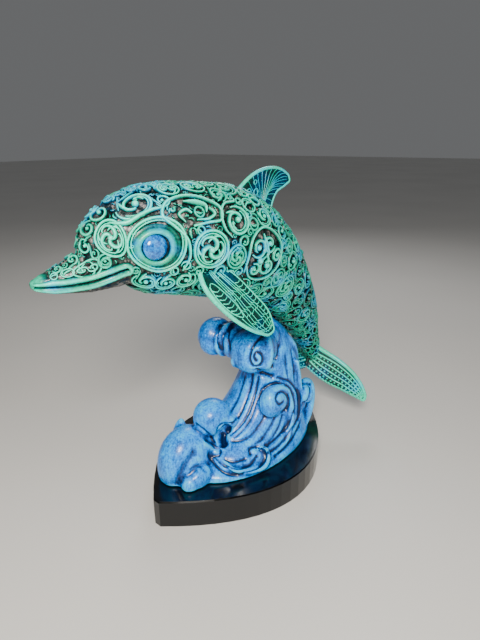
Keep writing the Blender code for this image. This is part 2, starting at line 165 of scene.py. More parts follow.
# The snout's tip is plain, and painted as the scrolls are.
PLAIN_TIP = 9.0
TIP_RELIEF = 0.62
# The upper beak is fuller than the stations give: by how much, where, and over what length.
BEAK_FULLER = 1.5
BEAK_FULLEST = 22.0
BEAK_REACH = 13.0


def smooth_rows(stations, count, places=3):
    """Rows read evenly along a smooth curve through stations, whose first columns are places."""
    rows = np.array(stations, float)
    steps = np.linalg.norm(np.diff(rows[:, :places], axis=0), axis=1)
    at = np.concatenate([[0.0], np.cumsum(steps)])
    slope = np.gradient(rows, at, axis=0)
    read = np.linspace(0.0, at[-1], count)
    i = np.clip(np.searchsorted(at, read, side="right") - 1, 0, len(at) - 2)
    span = (at[i + 1] - at[i])[:, None]
    t = (read - at[i])[:, None] / span
    return (
        rows[i] * (1 + 2 * t) * (1 - t) ** 2
        + slope[i] * span * t * (1 - t) ** 2
        + rows[i + 1] * t**2 * (3 - 2 * t)
        - slope[i + 1] * span * t**2 * (1 - t)
    )


def unit(vectors):
    """Vectors brought to length one."""
    return vectors / np.maximum(np.linalg.norm(vectors, axis=-1, keepdims=True), 1e-12)


def spine():
    """The line that the body is built round, with the directions left and up at each place."""
    rows = smooth_rows(BODY, 400, places=2)
    turn = HEAD_TURN * (np.minimum(rows[:, 0], 0.0) / HEAD_REACH) ** 2
    centre = np.column_stack([rows[:, 0], turn, rows[:, 1]])
    ahead = unit(np.gradient(centre, axis=0))
    left = unit(np.cross(ahead, (0.0, 0.0, 1.0)))
    up = np.cross(left, ahead)
    at = np.concatenate([[0.0], np.cumsum(np.linalg.norm(np.diff(centre, axis=0), axis=1))])
    return at, np.column_stack([centre, left, up, rows[:, 2:]])


SPINE_AT, SPINE_ROWS = spine()
SPINE_LENGTH = SPINE_AT[-1]


def hide(s, angle, lift=0.0):
    """Points in mm on the hide: s mm from the snout, angle degrees up from the left flank."""
    s, angle = np.broadcast_arrays(np.asarray(s, float), np.asarray(angle, float))
    rows = np.stack([np.interp(s, SPINE_AT, column) for column in SPINE_ROWS.T], axis=-1)
    centre, left, up = rows[..., 0:3], rows[..., 3:6], rows[..., 6:9]
    turn = np.radians(angle)
    power = 2 / SQUARENESS
    across = np.sign(np.cos(turn)) * np.abs(np.cos(turn)) ** power
    rise = np.sign(np.sin(turn)) * np.abs(np.sin(turn)) ** power
    wide = (rows[..., 10] + lift) * across
    fuller = BEAK_FULLER * np.exp(-(((s - BEAK_FULLEST) / BEAK_REACH) ** 2)) * np.clip(rise, 0, 1)
    high = (rows[..., 9] + lift + fuller) * rise
    return centre + left * wide[..., None] + up * high[..., None]


def hide_out(s, angle):
    """The direction straight out of the hide."""
    along = hide(np.asarray(s) + 0.4, angle) - hide(np.asarray(s) - 0.4, angle)
    round_it = hide(s, np.asarray(angle) + 1.0) - hide(s, np.asarray(angle) - 1.0)
    return unit(np.cross(along, round_it))


def stretch(s, angle):
    """How many mm of hide one mm of spine and one degree of turn are worth at a place."""
    along = np.linalg.norm(hide(s + 0.5, angle) - hide(s - 0.5, angle))
    round_it = np.linalg.norm(hide(s, angle + 1.0) - hide(s, angle - 1.0)) / 2
    return max(along, 0.3), max(round_it, 0.02)


def build(name, points, faces, finish, **tones):
    """A piece in the scene from points in mm and faces, with a number per point for each tone."""
    mesh = bpy.data.meshes.new(name)
    mesh.from_pydata((np.asarray(points) * MM).tolist(), [], faces)
    form = bmesh.new()
    form.from_mesh(mesh)
    bmesh.ops.recalc_face_normals(form, faces=form.faces)
    form.to_mesh(mesh)
    form.free()
    for tone, values in tones.items():
        layer = mesh.attributes.new(tone, "FLOAT", "POINT").data
        layer.foreach_set("value", np.asarray(values, np.float32))
    mesh.materials.append(finish)
    mesh.shade_smooth()
    piece = bpy.data.objects.new(name, mesh)
    bpy.context.scene.collection.objects.link(piece)
    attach(piece, "root")
    return piece


def skin_faces(rings, sides):
    """Faces of a closed skin of rings, with a cap on each end."""
    faces = []
    for r in range(rings - 1):
        for i in range(sides):
            j = (i + 1) % sides
            faces.append((r * sides + i, r * sides + j, (r + 1) * sides + j, (r + 1) * sides + i))
    faces.append(tuple(range(sides))[::-1])
    faces.append(tuple(range((rings - 1) * sides, rings * sides)))
    return faces


# The mouth line from the snout to the corner: along, angle.
MOUTH = ((0.5, -4.0), (5.0, -4.5), (12.0, -8.0), (20.0, -10.5), (28.0, -11.0), (35.0, -13.0), (42.5, -14.0))
mouth_line = smooth_rows(MOUTH, 60, places=2)
mouth_sides = (mouth_line[:, 1], 180 - mouth_line[:, 1])
mouth_points = np.concatenate([hide(mouth_line[:, 0], a) for a in mouth_sides])

# Painted resin, dark in the recesses. The floor is a rough near black with worn, pinkish grey
# patches; the scrolls are brushed teal, turquoise and pale mint towards their tops.
verdigris, shader = finish_named("verdigris painted resin")
place = add(verdigris, "ShaderNodeTexCoord").outputs["Object"]
relief = add(verdigris, "ShaderNodeAttribute", {"attribute_name": "relief"}).outputs["Fac"]
# The shade darkens a piece: a little at random for tone, and as painted shade on the belly, towards the
# tail and on the sunk small scrolls.
shade = add(verdigris, "ShaderNodeAttribute", {"attribute_name": "shade"}).outputs["Fac"]
streaks = add(
    verdigris, "ShaderNodeTexNoise", Vector=place, Scale=1 / (1.6 * MM), Detail=4.0, Roughness=0.65,
)
clouds = add(verdigris, "ShaderNodeTexNoise", Vector=place, Scale=1 / (13 * MM), Detail=3.0)
uneven = add(
    verdigris, "ShaderNodeMath", {"operation": "MULTIPLY_ADD"},
    i0=streaks.outputs["Fac"], i1=0.5, i2=-0.25,
)
height = add(verdigris, "ShaderNodeMath", {"operation": "ADD"}, i0=relief, i1=uneven.outputs[0])
height = add(verdigris, "ShaderNodeMath", {"operation": "SUBTRACT"}, i0=height.outputs[0], i1=shade)
GREENS = (
    (0.0, "#000f0e"), (0.22, "#00362f"), (0.42, "#007c66"), (0.66, "#00b893"), (0.88, "#14e8c0"),
    (1.0, "#66ffe4"),
)
CYANS = (
    (0.0, "#000f1c"), (0.22, "#003c5c"), (0.42, "#007fa8"), (0.66, "#00b2c8"), (0.88, "#14e0e0"),
    (1.0, "#66f8f4"),
)
green = add(verdigris, "ShaderNodeValToRGB", stops=GREENS, Fac=height.outputs[0])
cyan = add(verdigris, "ShaderNodeValToRGB", stops=CYANS, Fac=height.outputs[0])
# The forehead and the dorsal fin were brushed over with more cyan: middle, and reach in full and at all.
CYAN_PLACES = (((-0.082, 0.006, 0.206), 0.014, 0.03), ((0.03, 0.0, 0.196), 0.02, 0.032))
cloudy = clouds.outputs["Fac"]
for middle, near, far in CYAN_PLACES:
    reach = add(verdigris, "ShaderNodeVectorMath", {"operation": "DISTANCE"}, i0=place, i1=middle)
    more = add(
        verdigris, "ShaderNodeMapRange", Value=reach.outputs["Value"], From_Min=near, From_Max=far,
        To_Min=0.1, To_Max=0.0,
    )
    cloudy = add(verdigris, "ShaderNodeMath", {"operation": "ADD"}, i0=cloudy, i1=more.outputs[0])
    cloudy = cloudy.outputs[0]
patch = add(verdigris, "ShaderNodeMapRange", Value=cloudy, From_Min=0.48, From_Max=0.66)
paint = add(verdigris, "ShaderNodeMix", {"data_type": "RGBA"}, Factor=patch.outputs["Result"])
verdigris.node_tree.links.new(green.outputs["Color"], paint.inputs[6])
verdigris.node_tree.links.new(cyan.outputs["Color"], paint.inputs[7])
worn = add(verdigris, "ShaderNodeTexNoise", Vector=place, Scale=1 / (4.5 * MM), Detail=5.0, Roughness=0.7)
WORN_TONES = ((0.44, "#060d0c"), (0.53, "#2e3a38"), (0.65, "#c4b8b2"))
worn_tone = add(verdigris, "ShaderNodeValToRGB", stops=WORN_TONES, Fac=worn.outputs["Fac"])
low = add(
    verdigris, "ShaderNodeMapRange", Value=relief, From_Min=0.03, From_Max=0.16, To_Min=0.85, To_Max=0.0,
)
floor_share = add(verdigris, "ShaderNodeMath", {"operation": "SUBTRACT"}, i0=low.outputs[0], i1=shade)
floor_share.use_clamp = True
whole = add(verdigris, "ShaderNodeMix", {"data_type": "RGBA"}, Factor=floor_share.outputs[0])
verdigris.node_tree.links.new(paint.outputs[2], whole.inputs[6])
verdigris.node_tree.links.new(worn_tone.outputs["Color"], whole.inputs[7])
verdigris.node_tree.links.new(whole.outputs[2], shader.inputs["Base Color"])
satin = add(
    verdigris, "ShaderNodeMapRange", Value=height.outputs[0], From_Min=0.0, From_Max=0.9,
    To_Min=0.3, To_Max=0.36,
)
verdigris.node_tree.links.new(satin.outputs["Result"], shader.inputs["Roughness"])
grain = add(verdigris, "ShaderNodeBump", Height=streaks.outputs["Fac"], Strength=0.35, Distance=0.25 * MM)
verdigris.node_tree.links.new(grain.outputs["Normal"], shader.inputs["Normal"])
shader.inputs["Specular IOR Level"].default_value = 0.35
shader.inputs["Coat Weight"].default_value = 0.16
shader.inputs["Coat Roughness"].default_value = 0.14

ring_at = np.linspace(0.0, SPINE_LENGTH, HIDE_RINGS)
turn_at = np.arange(HIDE_SIDES) * 360 / HIDE_SIDES
ring_grid, turn_grid = np.meshgrid(ring_at, turn_at, indexing="ij")
skin = hide(ring_grid, turn_grid, -0.2).reshape(-1, 3)
out_of_hide = hide_out(np.clip(ring_grid, 0.5, SPINE_LENGTH - 0.5), turn_grid).reshape(-1, 3)
gap = np.linalg.norm(skin[:, None] - mouth_points[None, ::3], axis=2).min(axis=1)
fade = np.clip(ring_grid.reshape(-1) / SNOUT_FADE, 0.12, 1.0)
pits = np.array([noise.noise(Vector(p) * 0.45) + 0.8 * noise.noise(Vector(p) * 1.3) for p in skin])
sink = FLOOR_SINK * fade + PIT_DEPTH * pits + MOUTH_DEPTH * np.exp(-((gap / MOUTH_HALF) ** 2)) * fade
# The belly is painted darker than the flanks: partly its own darker paint, partly painted shade underneath.
belly = np.clip(-np.sin(np.radians(turn_grid.reshape(-1))) * 2.2 - 1.1, 0.0, 1.0)
tip = np.clip((PLAIN_TIP - ring_grid.reshape(-1)) / 5, 0.0, 1.0)
hide_relief = np.maximum(np.clip(0.06 - 0.1 * pits, 0.0, 1.0), TIP_RELIEF * tip)
dolphin_hide = build(
    "dolphin_hide", skin - out_of_hide * sink[:, None], skin_faces(HIDE_RINGS, HIDE_SIDES), verdigris,
    relief=hide_relief, shade=0.12 * belly,
)
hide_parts("dolphin")


# The filigree
# Rounded cords, curls, leaves and beads that stand proud of the hide. They were modelled by hand,
# cast with the body, painted with it, and brushed with pale mint on their tops.

# A cord's section: across and out, in half widths, and how far up its relief each point is. Its foot
# goes down to the floor of the carving, however thin the cord is.
SECTION = (
    (-1.0, -1.0, 0.0), (-0.95, 0.1, 0.34), (-0.58, 0.74, 0.66), (0.0, 1.0, 1.0), (0.58, 0.74, 0.66),
    (0.95, 0.1, 0.34), (1.0, -1.0, 0.0),
)
FOOT = 1.55
CORD_STEP = 0.8
BEAD_SIDES = 9
BEAD_RINGS = 3


class Work:
    """Raised work that is gathered into one piece."""

    def __init__(self):
        self.points, self.faces, self.relief, self.shade, self.count = [], [], [], [], 0

    def put(self, points, faces, relief, shade):
        """Adds points and faces, with each point's height in the relief and one shade for all."""
        self.points.append(points)
        self.faces.extend([tuple(i + self.count for i in face) for face in faces])
        self.relief.append(relief)
        self.shade.append(np.full(len(points), shade))
        self.count += len(points)

    def cord(self, points, out, half, rise=1.0, glow=1.0, shade=0.0, foot=FOOT):
        """A cord along points on a surface whose outward directions are given, in mm."""
        half = np.broadcast_to(half, len(points))
        ahead = unit(np.gradient(points, axis=0))
        side = unit(np.cross(out, ahead))
        section = np.array(SECTION)
        tall = np.where(section[:, 1] < 0, -foot, half[:, None] * section[:, 1] * rise)
        across = side[:, None] * (half[:, None] * section[:, 0])[..., None]
        relief = np.tile(section[:, 2] * glow, len(points))
        rings = points[:, None] + across + out[:, None] * tall[..., None]
        self.put(rings.reshape(-1, 3), skin_faces(len(points), len(SECTION)), relief, shade)

    def bead(self, centre, out, radius, rise=1.0, glow=1.0, shade=0.0, foot=FOOT):
        """A round bead or boss that sits on the surface."""
        side = unit(np.cross(out, (0.3, 0.5, 0.81)))
        other = np.cross(out, side)
        turn = np.arange(BEAD_SIDES) * math.tau / BEAD_SIDES
        ring = side[None] * np.cos(turn)[:, None] + other[None] * np.sin(turn)[:, None]
        rings, relief = [centre + radius * 0.95 * ring - out * foot], [0.0] * BEAD_SIDES
        for level in range(BEAD_RINGS + 1):
            lean = math.radians(90 - 74 * level / BEAD_RINGS)
            rings.append(centre + radius * (ring * math.sin(lean) + out * math.cos(lean) * rise))
            relief += [glow * (0.34 + 0.66 * math.cos(lean))] * BEAD_SIDES
        self.put(np.concatenate(rings), skin_faces(BEAD_RINGS + 2, BEAD_SIDES), np.array(relief), shade)

    def lathe(self, rings, reliefs, shade=0.0):
        """A closed ring from a section turned round: one ring of points for each of its places."""
        levels, sides = len(rings), len(rings[0])
        faces = []
        for level in range(levels):
            here, there = level * sides, (level + 1) % levels * sides
            for i in range(sides):
                j = (i + 1) % sides
                faces.append((here + i, here + j, there + j, there + i))
        self.put(np.concatenate(rings), faces, np.repeat(reliefs, sides), shade)

    def piece(self, name):
        """Builds all that was gathered as one piece of the dolphin."""
        made = build(
            name, np.concatenate(self.points), self.faces, verdigris,
            relief=np.concatenate(self.relief), shade=np.concatenate(self.shade),
        )
        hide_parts("dolphin")


def even(line, step):
    """A line of points and widths, read again at even steps and smoothed."""
    line = np.asarray(line, float)
    length = np.linalg.norm(np.diff(line[:, :2], axis=0), axis=1).sum()
    return smooth_rows(line, max(4, int(length / step) + 1), places=2)


def curl(radius, end_radius, start, turns, half, taper=0.45, centre=(0.0, 0.0)):
    """A spiral stroke in mm: it starts at radius and winds to end_radius, thinning as it goes."""
    part = np.linspace(0, 1, max(8, int(abs(turns) * 26)))
    angle = np.radians(start) + math.tau * turns * part
    reach = radius + (end_radius - radius) * part**0.85
    width = half * (1 - (1 - taper) * part)
    return np.column_stack([centre[0] + reach * np.cos(angle), centre[1] + reach * np.sin(angle), width])


def polar(reach, turn):
    """A place in mm at a reach and a turn in degrees."""
    return reach * math.cos(math.radians(turn)), reach * math.sin(math.radians(turn))


def hoop(radius, half):
    """A closed ring."""
    return curl(radius, radius, 0.0, 1.03, half, taper=1.0)


def leaf(start, end, half, bend=0.25):
    """A leaf or comma: thin at both ends, widest before its end, and bent to one side."""
    part = np.linspace(0, 1, 12)[:, None]
    start, end = np.array(start, float), np.array(end, float)
    along = end - start
    aside = np.array([-along[1], along[0]]) * bend
    line = start + along * part + aside * np.sin(math.pi * part)
    width = half * (0.25 + 0.75 * np.sin(math.pi * part[:, 0] ** 1.4))
    return np.column_stack([line, width])


def drawn(places, radius, half, start=0.0, spin=1, centre=(0.0, 0.0)):
    """A stroke through places given as reach, turn in degrees and width, in shares of its motif's."""
    rows = np.array(places, float)
    read = np.linspace(0, len(rows) - 1, 5 * (len(rows) - 1) + 1)
    reach, turn, width = (np.interp(read, np.arange(len(rows)), column) for column in rows.T)
    angle = np.radians(start + spin * turn)
    x, y = radius * reach * np.cos(angle), radius * reach * np.sin(angle)
    return np.column_stack([centre[0] + x, centre[1] + y, half * width])


def double_hoop(radius, half):
    """A ring with a thinner ring inside it, as a rolled edge shows."""
    return [hoop(radius, half), hoop(radius - 1.75 * half, half * 0.5)]


# The strokes of the motifs: reach, turn and width at each place, from the outer end inwards.
PINWHEEL_ARM = (
    (0.1, -10, 1.1), (0.26, 15, 1.45), (0.45, 48, 1.55), (0.62, 84, 1.25), (0.72, 122, 0.8),
    (0.66, 150, 0.6), (0.56, 152, 0.5),
)
PINWHEEL_LEAF = ((0.84, 40, 0.4), (0.74, 62, 0.85), (0.56, 88, 0.8), (0.42, 116, 0.35))
ROLL = (
    (1.0, -20, 0.5), (1.0, 30, 0.95), (1.0, 80, 1.1), (0.98, 130, 1.15), (0.93, 180, 1.15),
    (0.84, 230, 1.1), (0.7, 280, 1.1), (0.55, 330, 1.15), (0.42, 385, 1.2), (0.33, 440, 0.9),
)
ROLL_LEAF = ((0.98, -60, 0.4), (0.8, -48, 1.0), (0.6, -30, 1.3), (0.46, 0, 0.7))
ROLL_HOOK = ((0.62, 190, 0.4), (0.6, 225, 0.75), (0.46, 250, 0.85), (0.38, 220, 0.5))
SNAIL = (
    (1.0, 0, 0.5), (1.0, 60, 1.0), (0.97, 120, 1.1), (0.88, 180, 1.1), (0.74, 240, 1.05), (0.58, 300, 1.0),
    (0.46, 360, 0.8), (0.4, 400, 0.5),
)
CLUSTER_STEM = (
    (0.95, 80, 0.4), (0.7, 78, 1.0), (0.35, 60, 1.1), (0.1, 0, 1.0), (0.3, -60, 0.9), (0.75, -88, 0.4),
)
# The curls of a cluster: reach, turn and radius, where each begins, and its way round.
CLUSTER_CURLS = (
    (0.56, 120, 0.36, 200, 1), (0.56, 52, 0.34, 330, -1), (0.42, 282, 0.42, 80, 1), (0.74, 348, 0.26, 0, 1),
    (0.72, 208, 0.26, 90, -1),
)


def rose(radius, half, spin=1, start=20.0):
    """A rolled ring with fat curled arms that meet round a bead, like a pinwheel."""
    strokes = double_hoop(radius, half)
    for turn in (0, 120, 240):
        strokes.append(drawn(PINWHEEL_ARM, radius, half, start + turn, spin))
        strokes.append(drawn(PINWHEEL_LEAF, radius, half, start + turn, spin))
    return strokes, [(0.0, 0.0, radius * 0.2)]


def scroll(radius, half, spin=1, start=0.0):
    """A stroke that rolls inwards to a bead, with a leaf in its mouth and a hook inside its back."""
    strokes = [drawn(shape, radius, half, start, spin) for shape in (ROLL, ROLL_LEAF, ROLL_HOOK)]
    inner = radius * (1 - 1.75 * half / radius)
    strokes.append(drawn(ROLL[1:6], inner, half * 0.45, start, spin))
    return strokes, [(radius * 0.05, 0.0, radius * 0.24)]


def twin(radius, half, spin=1, start=0.0):
    """A ring that holds two curls back to back, leaves and beads."""
    strokes = [hoop(radius, half)]
    for flip in (0, 180):
        centre = polar(radius * 0.4, start + flip)
        strokes.append(drawn(SNAIL, radius * 0.4, half * 0.95, start + flip + 170, spin, centre))
        strokes.append(drawn(PINWHEEL_LEAF, radius, half, start + flip + 60, spin))
    return strokes, [(*polar(away * radius, start), radius * 0.13) for away in (0.42, -0.42)]


def cluster(radius, half, spin=1, start=0.0):
    """Curls, beads and leaves of several sizes that crowd together."""
    strokes, beads = [], []
    for reach, turn, size, begin, way in CLUSTER_CURLS:
        centre = polar(radius * reach, start + turn)
        strokes.append(drawn(SNAIL, radius * size, half, start + begin, way * spin, centre))
        beads.append((*centre, radius * size * 0.34))
    strokes.append(drawn(CLUSTER_STEM, radius, half, start, spin))
    beads.append((*polar(radius * 0.3, start + 190), radius * 0.15))
    return strokes, beads


def eyelet(radius, half, spin=1, start=0.0):
    """A small ring crossed by a slanting leaf."""
    x, y = polar(radius * 0.8, start)
    return [hoop(radius, half), leaf((-x, -y), (x, y), half * 1.3, 0.2 * spin)], []


def snail(radius, half, spin=1, start=0.0):
    """A plain curl with a bead in its eye."""
    return [drawn(SNAIL, radius, half, start, spin)], [(0.0, 0.0, radius * 0.26)]


def comma(radius, half, spin=1, start=0.0):
    """A fat leaf with a hooked tip, that fills the room left between scrolls."""
    places = (
        (1.0, 180, 0.45), (0.5, 180 - 20 * spin, 1.1), (0.25, 60 * spin, 1.35), (0.75, 10 * spin, 0.9),
        (1.0, -18 * spin, 0.4),
    )
    return [drawn(places, radius, half, start, 1)], []


def twig(radius, half, spin=1, start=0.0):
    """One short leaf."""
    x, y = polar(radius, start)
    return [leaf((-x, -y), (x, y), half, 0.3 * spin)], []


# Where the head's filigree ends and where the trunk's does, along the spine.
HEAD_ENDS = 74
TRUNK_ENDS = 150
# The tail's scrolls are given this much painted shade at its end, as the light falls off away from the
# head, from where the painted shade starts.
TAIL_SHADE = 0.13
TAIL_SHADE_FROM = 105
TAIL_SHADE_OVER = 90
THINNEST_HALF = 0.25
COLLAR_SHADE = 0.04


class Side:
    """One flank of the dolphin, on which strokes drawn in mm are laid."""

    def __init__(self, hand):
        self.mirror = hand == "right"
        self.works = {part: Work() for part in ("head", "trunk", "tail")}

    def turned(self, angle):
        """An angle of the left flank, on this flank."""
        return 180 - angle if self.mirror else angle

    def work(self, s):
        """The piece that ornament at a place along the spine goes into."""
        return self.works["head" if s < HEAD_ENDS else "trunk" if s < TRUNK_ENDS else "tail"]

    def lay(self, s, angle, strokes, beads, tilt=0.0, squash=(1.0, 1.0), lift=0.0, glow=1.0, shade=0.0):
        """Lays strokes and beads, drawn in mm round (0, 0), at a place on the hide."""
        along, round_it = stretch(s, angle)
        cos, sin = math.cos(math.radians(tilt)), math.sin(math.radians(tilt))
        work = self.work(s)
        # Painted shade towards the tail, where the light falls off.
        shade = shade + TAIL_SHADE * float(np.clip((s - TAIL_SHADE_FROM) / TAIL_SHADE_OVER, 0, 1))

        def spot(x, y):
            x, y = x * squash[0], y * squash[1]
            return s + (x * cos - y * sin) / along, angle + (x * sin + y * cos) / round_it

        for stroke in strokes:
            line = even(stroke, CORD_STEP)
            at, turn = spot(line[:, 0], line[:, 1])
            self.stroke(work, at, turn, np.maximum(line[:, 2], THINNEST_HALF), lift, glow, shade)
        for x, y, radius in beads:
            at, turn = spot(x, y)
            at = np.clip(at, 1.0, SPINE_LENGTH - 1.0)
            out = hide_out(at, self.turned(turn))
            work.bead(hide(at, self.turned(turn)) + out * lift, out, radius, 0.9, glow, shade)

    def collar(self, s, angle, section, sides=72):
        """A closed ring round a place, from a section of reach, lift and relief, in mm."""
        along, round_it = stretch(s, angle)
        turn = np.arange(sides) * math.tau / sides
        rings = []
        for reach, lift, relief in section:
            at = s + reach * np.cos(turn) / along
            round_at = self.turned(angle + reach * np.sin(turn) / round_it)
            rings.append(hide(at, round_at) + hide_out(at, round_at) * lift)
        self.work(s).lathe(rings, [relief for reach, lift, relief in section], COLLAR_SHADE)

    def stroke(self, work, at, turn, half, lift=0.0, glow=1.0, shade=0.0, rise=1.0):
        """Lays a cord along places on the hide."""
        at = np.clip(at, 1.0, SPINE_LENGTH - 1.0)
        turn = self.turned(turn)
        out = hide_out(at, turn)
        work.cord(hide(at, turn) + out * lift, out, half, rise, glow, shade)


# The large medallions: kind, along, angle, half length, half height, tilt, cord's half width, spin, start.
MEDALLIONS = (
    (rose, 86.0, -3.0, 10.4, 10.2, 0.0, 1.0, 1, 10.0),
    (cluster, 125.0, -5.0, 15.6, 14.2, 10.0, 1.05, 1, 20.0),
    (scroll, 101.6, 25.0, 8.0, 7.8, 0.0, 1.0, -1, 90.0),
    (rose, 44.0, 32.0, 7.0, 8.8, -10.0, 0.85, 1, 90.0),
    (scroll, 56.0, 54.0, 9.8, 6.6, 8.0, 0.85, 1, 180.0),
    (snail, 66.0, 50.0, 3.6, 3.6, 0.0, 0.6, 1, 200.0),
    (twin, 71.6, 67.0, 5.6, 5.2, 0.0, 0.65, 1, 0.0),
    (twin, 84.0, 70.0, 6.8, 5.6, 0.0, 0.65, -1, 0.0),
    (scroll, 49.5, -40.0, 6.6, 5.6, 0.0, 0.8, 1, 140.0),
    (scroll, 63.0, -42.0, 5.4, 5.2, 0.0, 0.75, 1, 140.0),
    (scroll, 75.0, -37.0, 5.2, 5.2, 0.0, 0.75, -1, 30.0),
    (scroll, 121.0, 33.0, 6.4, 5.6, 15.0, 0.8, 1, 200.0),
    (eyelet, 112.0, 43.0, 4.8, 4.4, 0.0, 0.7, 1, 30.0),
    (snail, 137.5, 27.0, 5.0, 4.6, 20.0, 0.7, -1, 0.0),
    (rose, 165.5, -22.0, 8.2, 8.0, 20.0, 0.8, -1, 45.0),
    (scroll, 158.0, 7.0, 7.0, 6.4, 25.0, 0.75, 1, 0.0),
    (scroll, 149.0, -44.0, 7.0, 6.6, 0.0, 0.75, 1, 270.0),
    (scroll, 117.0, -42.0, 6.4, 6.0, 0.0, 0.75, -1, 90.0),
    (snail, 101.5, -29.0, 3.6, 3.6, 0.0, 0.6, 1, 0.0),
    (snail, 72.5, -19.0, 2.6, 2.6, 0.0, 0.55, -1, 180.0),
    (rose, 185.0, -48.0, 6.6, 6.4, 30.0, 0.75, 1, 0.0),
    (scroll, 183.0, -6.0, 6.6, 5.8, 28.0, 0.75, -1, 120.0),
    (snail, 46.5, 76.0, 4.8, 5.0, 0.0, 0.75, 1, 60.0),
    (snail, 34.5, 60.0, 3.4, 3.8, 0.0, 0.6, 1, 0.0),
    (twin, 27.0, 22.0, 6.0, 3.6, -14.0, 0.55, 1, 0.0),
    (eyelet, 17.0, 34.0, 3.2, 1.9, -10.0, 0.45, 1, 40.0),
    (eyelet, 10.6, 40.0, 1.7, 1.6, 0.0, 0.4, 1, 0.0),
)
EYE_AT = (58.0, 2.0)
# The ring round the eye lies a little above and behind the stone's middle.
EYE_RING_AT = (59.2, 4.4)
EYE_RING = 14.4
# The collar's section: reach from the stone's middle, lift and relief.
COLLAR = (
    (6.9, -1.5, 0.0), (6.9, 0.8, 0.3), (7.4, 1.45, 0.6), (8.2, 1.7, 0.7), (9.2, 1.4, 0.62),
    (10.2, 0.7, 0.5), (10.9, 0.1, 0.3), (12.2, -0.15, 0.34), (13.2, -0.3, 0.3), (13.2, -1.5, 0.0),
)
# The loose S scrolls beside the eye and over the large pinwheel: along, angle, half width.
LONG_SCROLLS = (
    ((71.0, -24.0, 0.5), (74.0, -10.0, 0.9), (73.0, 4.0, 1.0), (68.0, 18.0, 1.05), (63.5, 32.0, 1.1),
     (66.0, 44.0, 1.1), (75.0, 52.0, 1.1), (85.5, 47.0, 1.05), (92.5, 36.0, 1.0), (92.0, 26.0, 1.0),
     (84.0, 21.5, 0.95), (76.0, 18.0, 0.8)),
    ((46.5, 50.0, 0.5), (48.6, 41.5, 1.2), (51.5, 36.5, 1.6), (56.0, 38.5, 1.4), (60.5, 41.0, 1.1),
     (65.5, 41.0, 0.6)),
    ((72.5, 22.0, 0.4), (70.5, 31.0, 0.9), (74.0, 35.0, 1.0), (76.0, 31.0, 0.7)),
    ((78.0, 24.0, 0.5), (84.5, 25.5, 1.0), (88.0, 31.0, 1.0), (85.5, 37.0, 0.8)),
    ((74.0, 45.0, 0.5), (79.0, 43.0, 1.7), (84.0, 38.0, 1.2), (83.5, 32.0, 0.4)),
    ((98.0, 8.0, 0.4), (93.5, 16.0, 0.8), (92.0, 30.0, 0.9), (95.5, 42.0, 0.9), (103.0, 46.0, 0.8)),
    ((111.5, -24.0, 0.4), (111.0, -8.0, 0.9), (112.0, 8.0, 1.0), (118.5, 20.0, 1.0), (130.0, 20.0, 1.0),
     (138.5, 10.0, 0.9), (140.5, -6.0, 0.9), (136.0, -21.0, 0.9), (126.0, -29.0, 0.9),
     (116.0, -26.0, 0.8), (110.5, -14.0, 0.5)),
)

# A degree of turn counts as half a mm along the spine where a long scroll is smoothed.
SCROLL_SHARES = (1.0, 0.5, 1.0)


def smooth_scroll(line, count):
    """A long scroll's places and half widths, read along a smooth curve."""
    return smooth_rows(np.array(line) * SCROLL_SHARES, count, places=2) / SCROLL_SHARES


def girth(s):
    """The mean of the body's half height and half width at a place along it."""
    return np.stack([np.interp(s, SPINE_AT, SPINE_ROWS[:, k]) for k in (9, 10)], axis=-1).mean(axis=-1)


# The wave's solid, so that the belly is left plain where it lies on the water.
wave_solid = bvhtree.BVHTree.FromObject(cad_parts["wave"], bpy.context.evaluated_depsgraph_get())


def clear_of_wave(point, room):
    """Whether the wave is further than this room from a point, both in mm."""
    found = wave_solid.find_nearest(Vector(point) * MM)
    return found[3] is None or found[3] > room * MM


# The radii that the filling scrolls are tried in, and the least share of a radius between centres.
FILL_RADII = (6.4, 5.2, 4.3, 3.5, 2.8, 2.2, 1.7, 1.25, 0.9)
FILL_CLOSENESS = 0.95
FILL_TRIES = 6500
# A scroll's radius is at most this share of the girth.
CURL_SHARE = 0.4
# No scroll finer than this is laid from here to the flukes.
FINEST_ON_TAIL = 1.2
TAIL_FROM = 168
# Scrolls keep off the lips as far as the mouth's end, and off the dorsal fin's foot.
MOUTH_ENDS = 46
LIP_ROOM = 3.6
DORSAL_FOOT = (118, 166)
DORSAL_ROOM = 2.4
MIDDLE_ROOM = 0.6


def fill_places(taken):
    """Circles that fill the flank between the large medallions: along, angle, radius, centre."""
    dice = np.random.default_rng(11)
    centres = np.array([hide(s, a) for s, a, radius in taken])
    radii = np.array([radius for s, a, radius in taken])
    found = []
    for radius in FILL_RADII:
        along = dice.uniform(9.0, SPINE_LENGTH - 10, FILL_TRIES)
        turn = dice.uniform(-86.0, 88.0, FILL_TRIES)
        centre = hide(along, turn)
        for s, a, point, room in zip(along, turn, centre, girth(along)):
            if radius > room * CURL_SHARE or (s > TAIL_FROM and radius < FINEST_ON_TAIL):
                continue
            over_mouth = (a - np.interp(s, mouth_line[:, 0], mouth_line[:, 1])) * math.radians(room)
            if s < MOUTH_ENDS and over_mouth < radius * 0.8 + LIP_ROOM:
                continue
            if np.any(np.linalg.norm(centres - point, axis=1) < (radii + radius) * FILL_CLOSENESS):
                continue
            from_back, from_belly = (np.linalg.norm(point - hide(s, middle)) for middle in (90.0, -90.0))
            if min(from_back, from_belly) < radius + MIDDLE_ROOM:
                continue
            if DORSAL_FOOT[0] < s < DORSAL_FOOT[1] and from_back < radius + DORSAL_ROOM:
                continue
            if not clear_of_wave(point, radius * 0.5):
                continue
            centres = np.vstack([centres, point])
            radii = np.append(radii, radius)
            found.append((s, a, radius))
    return found


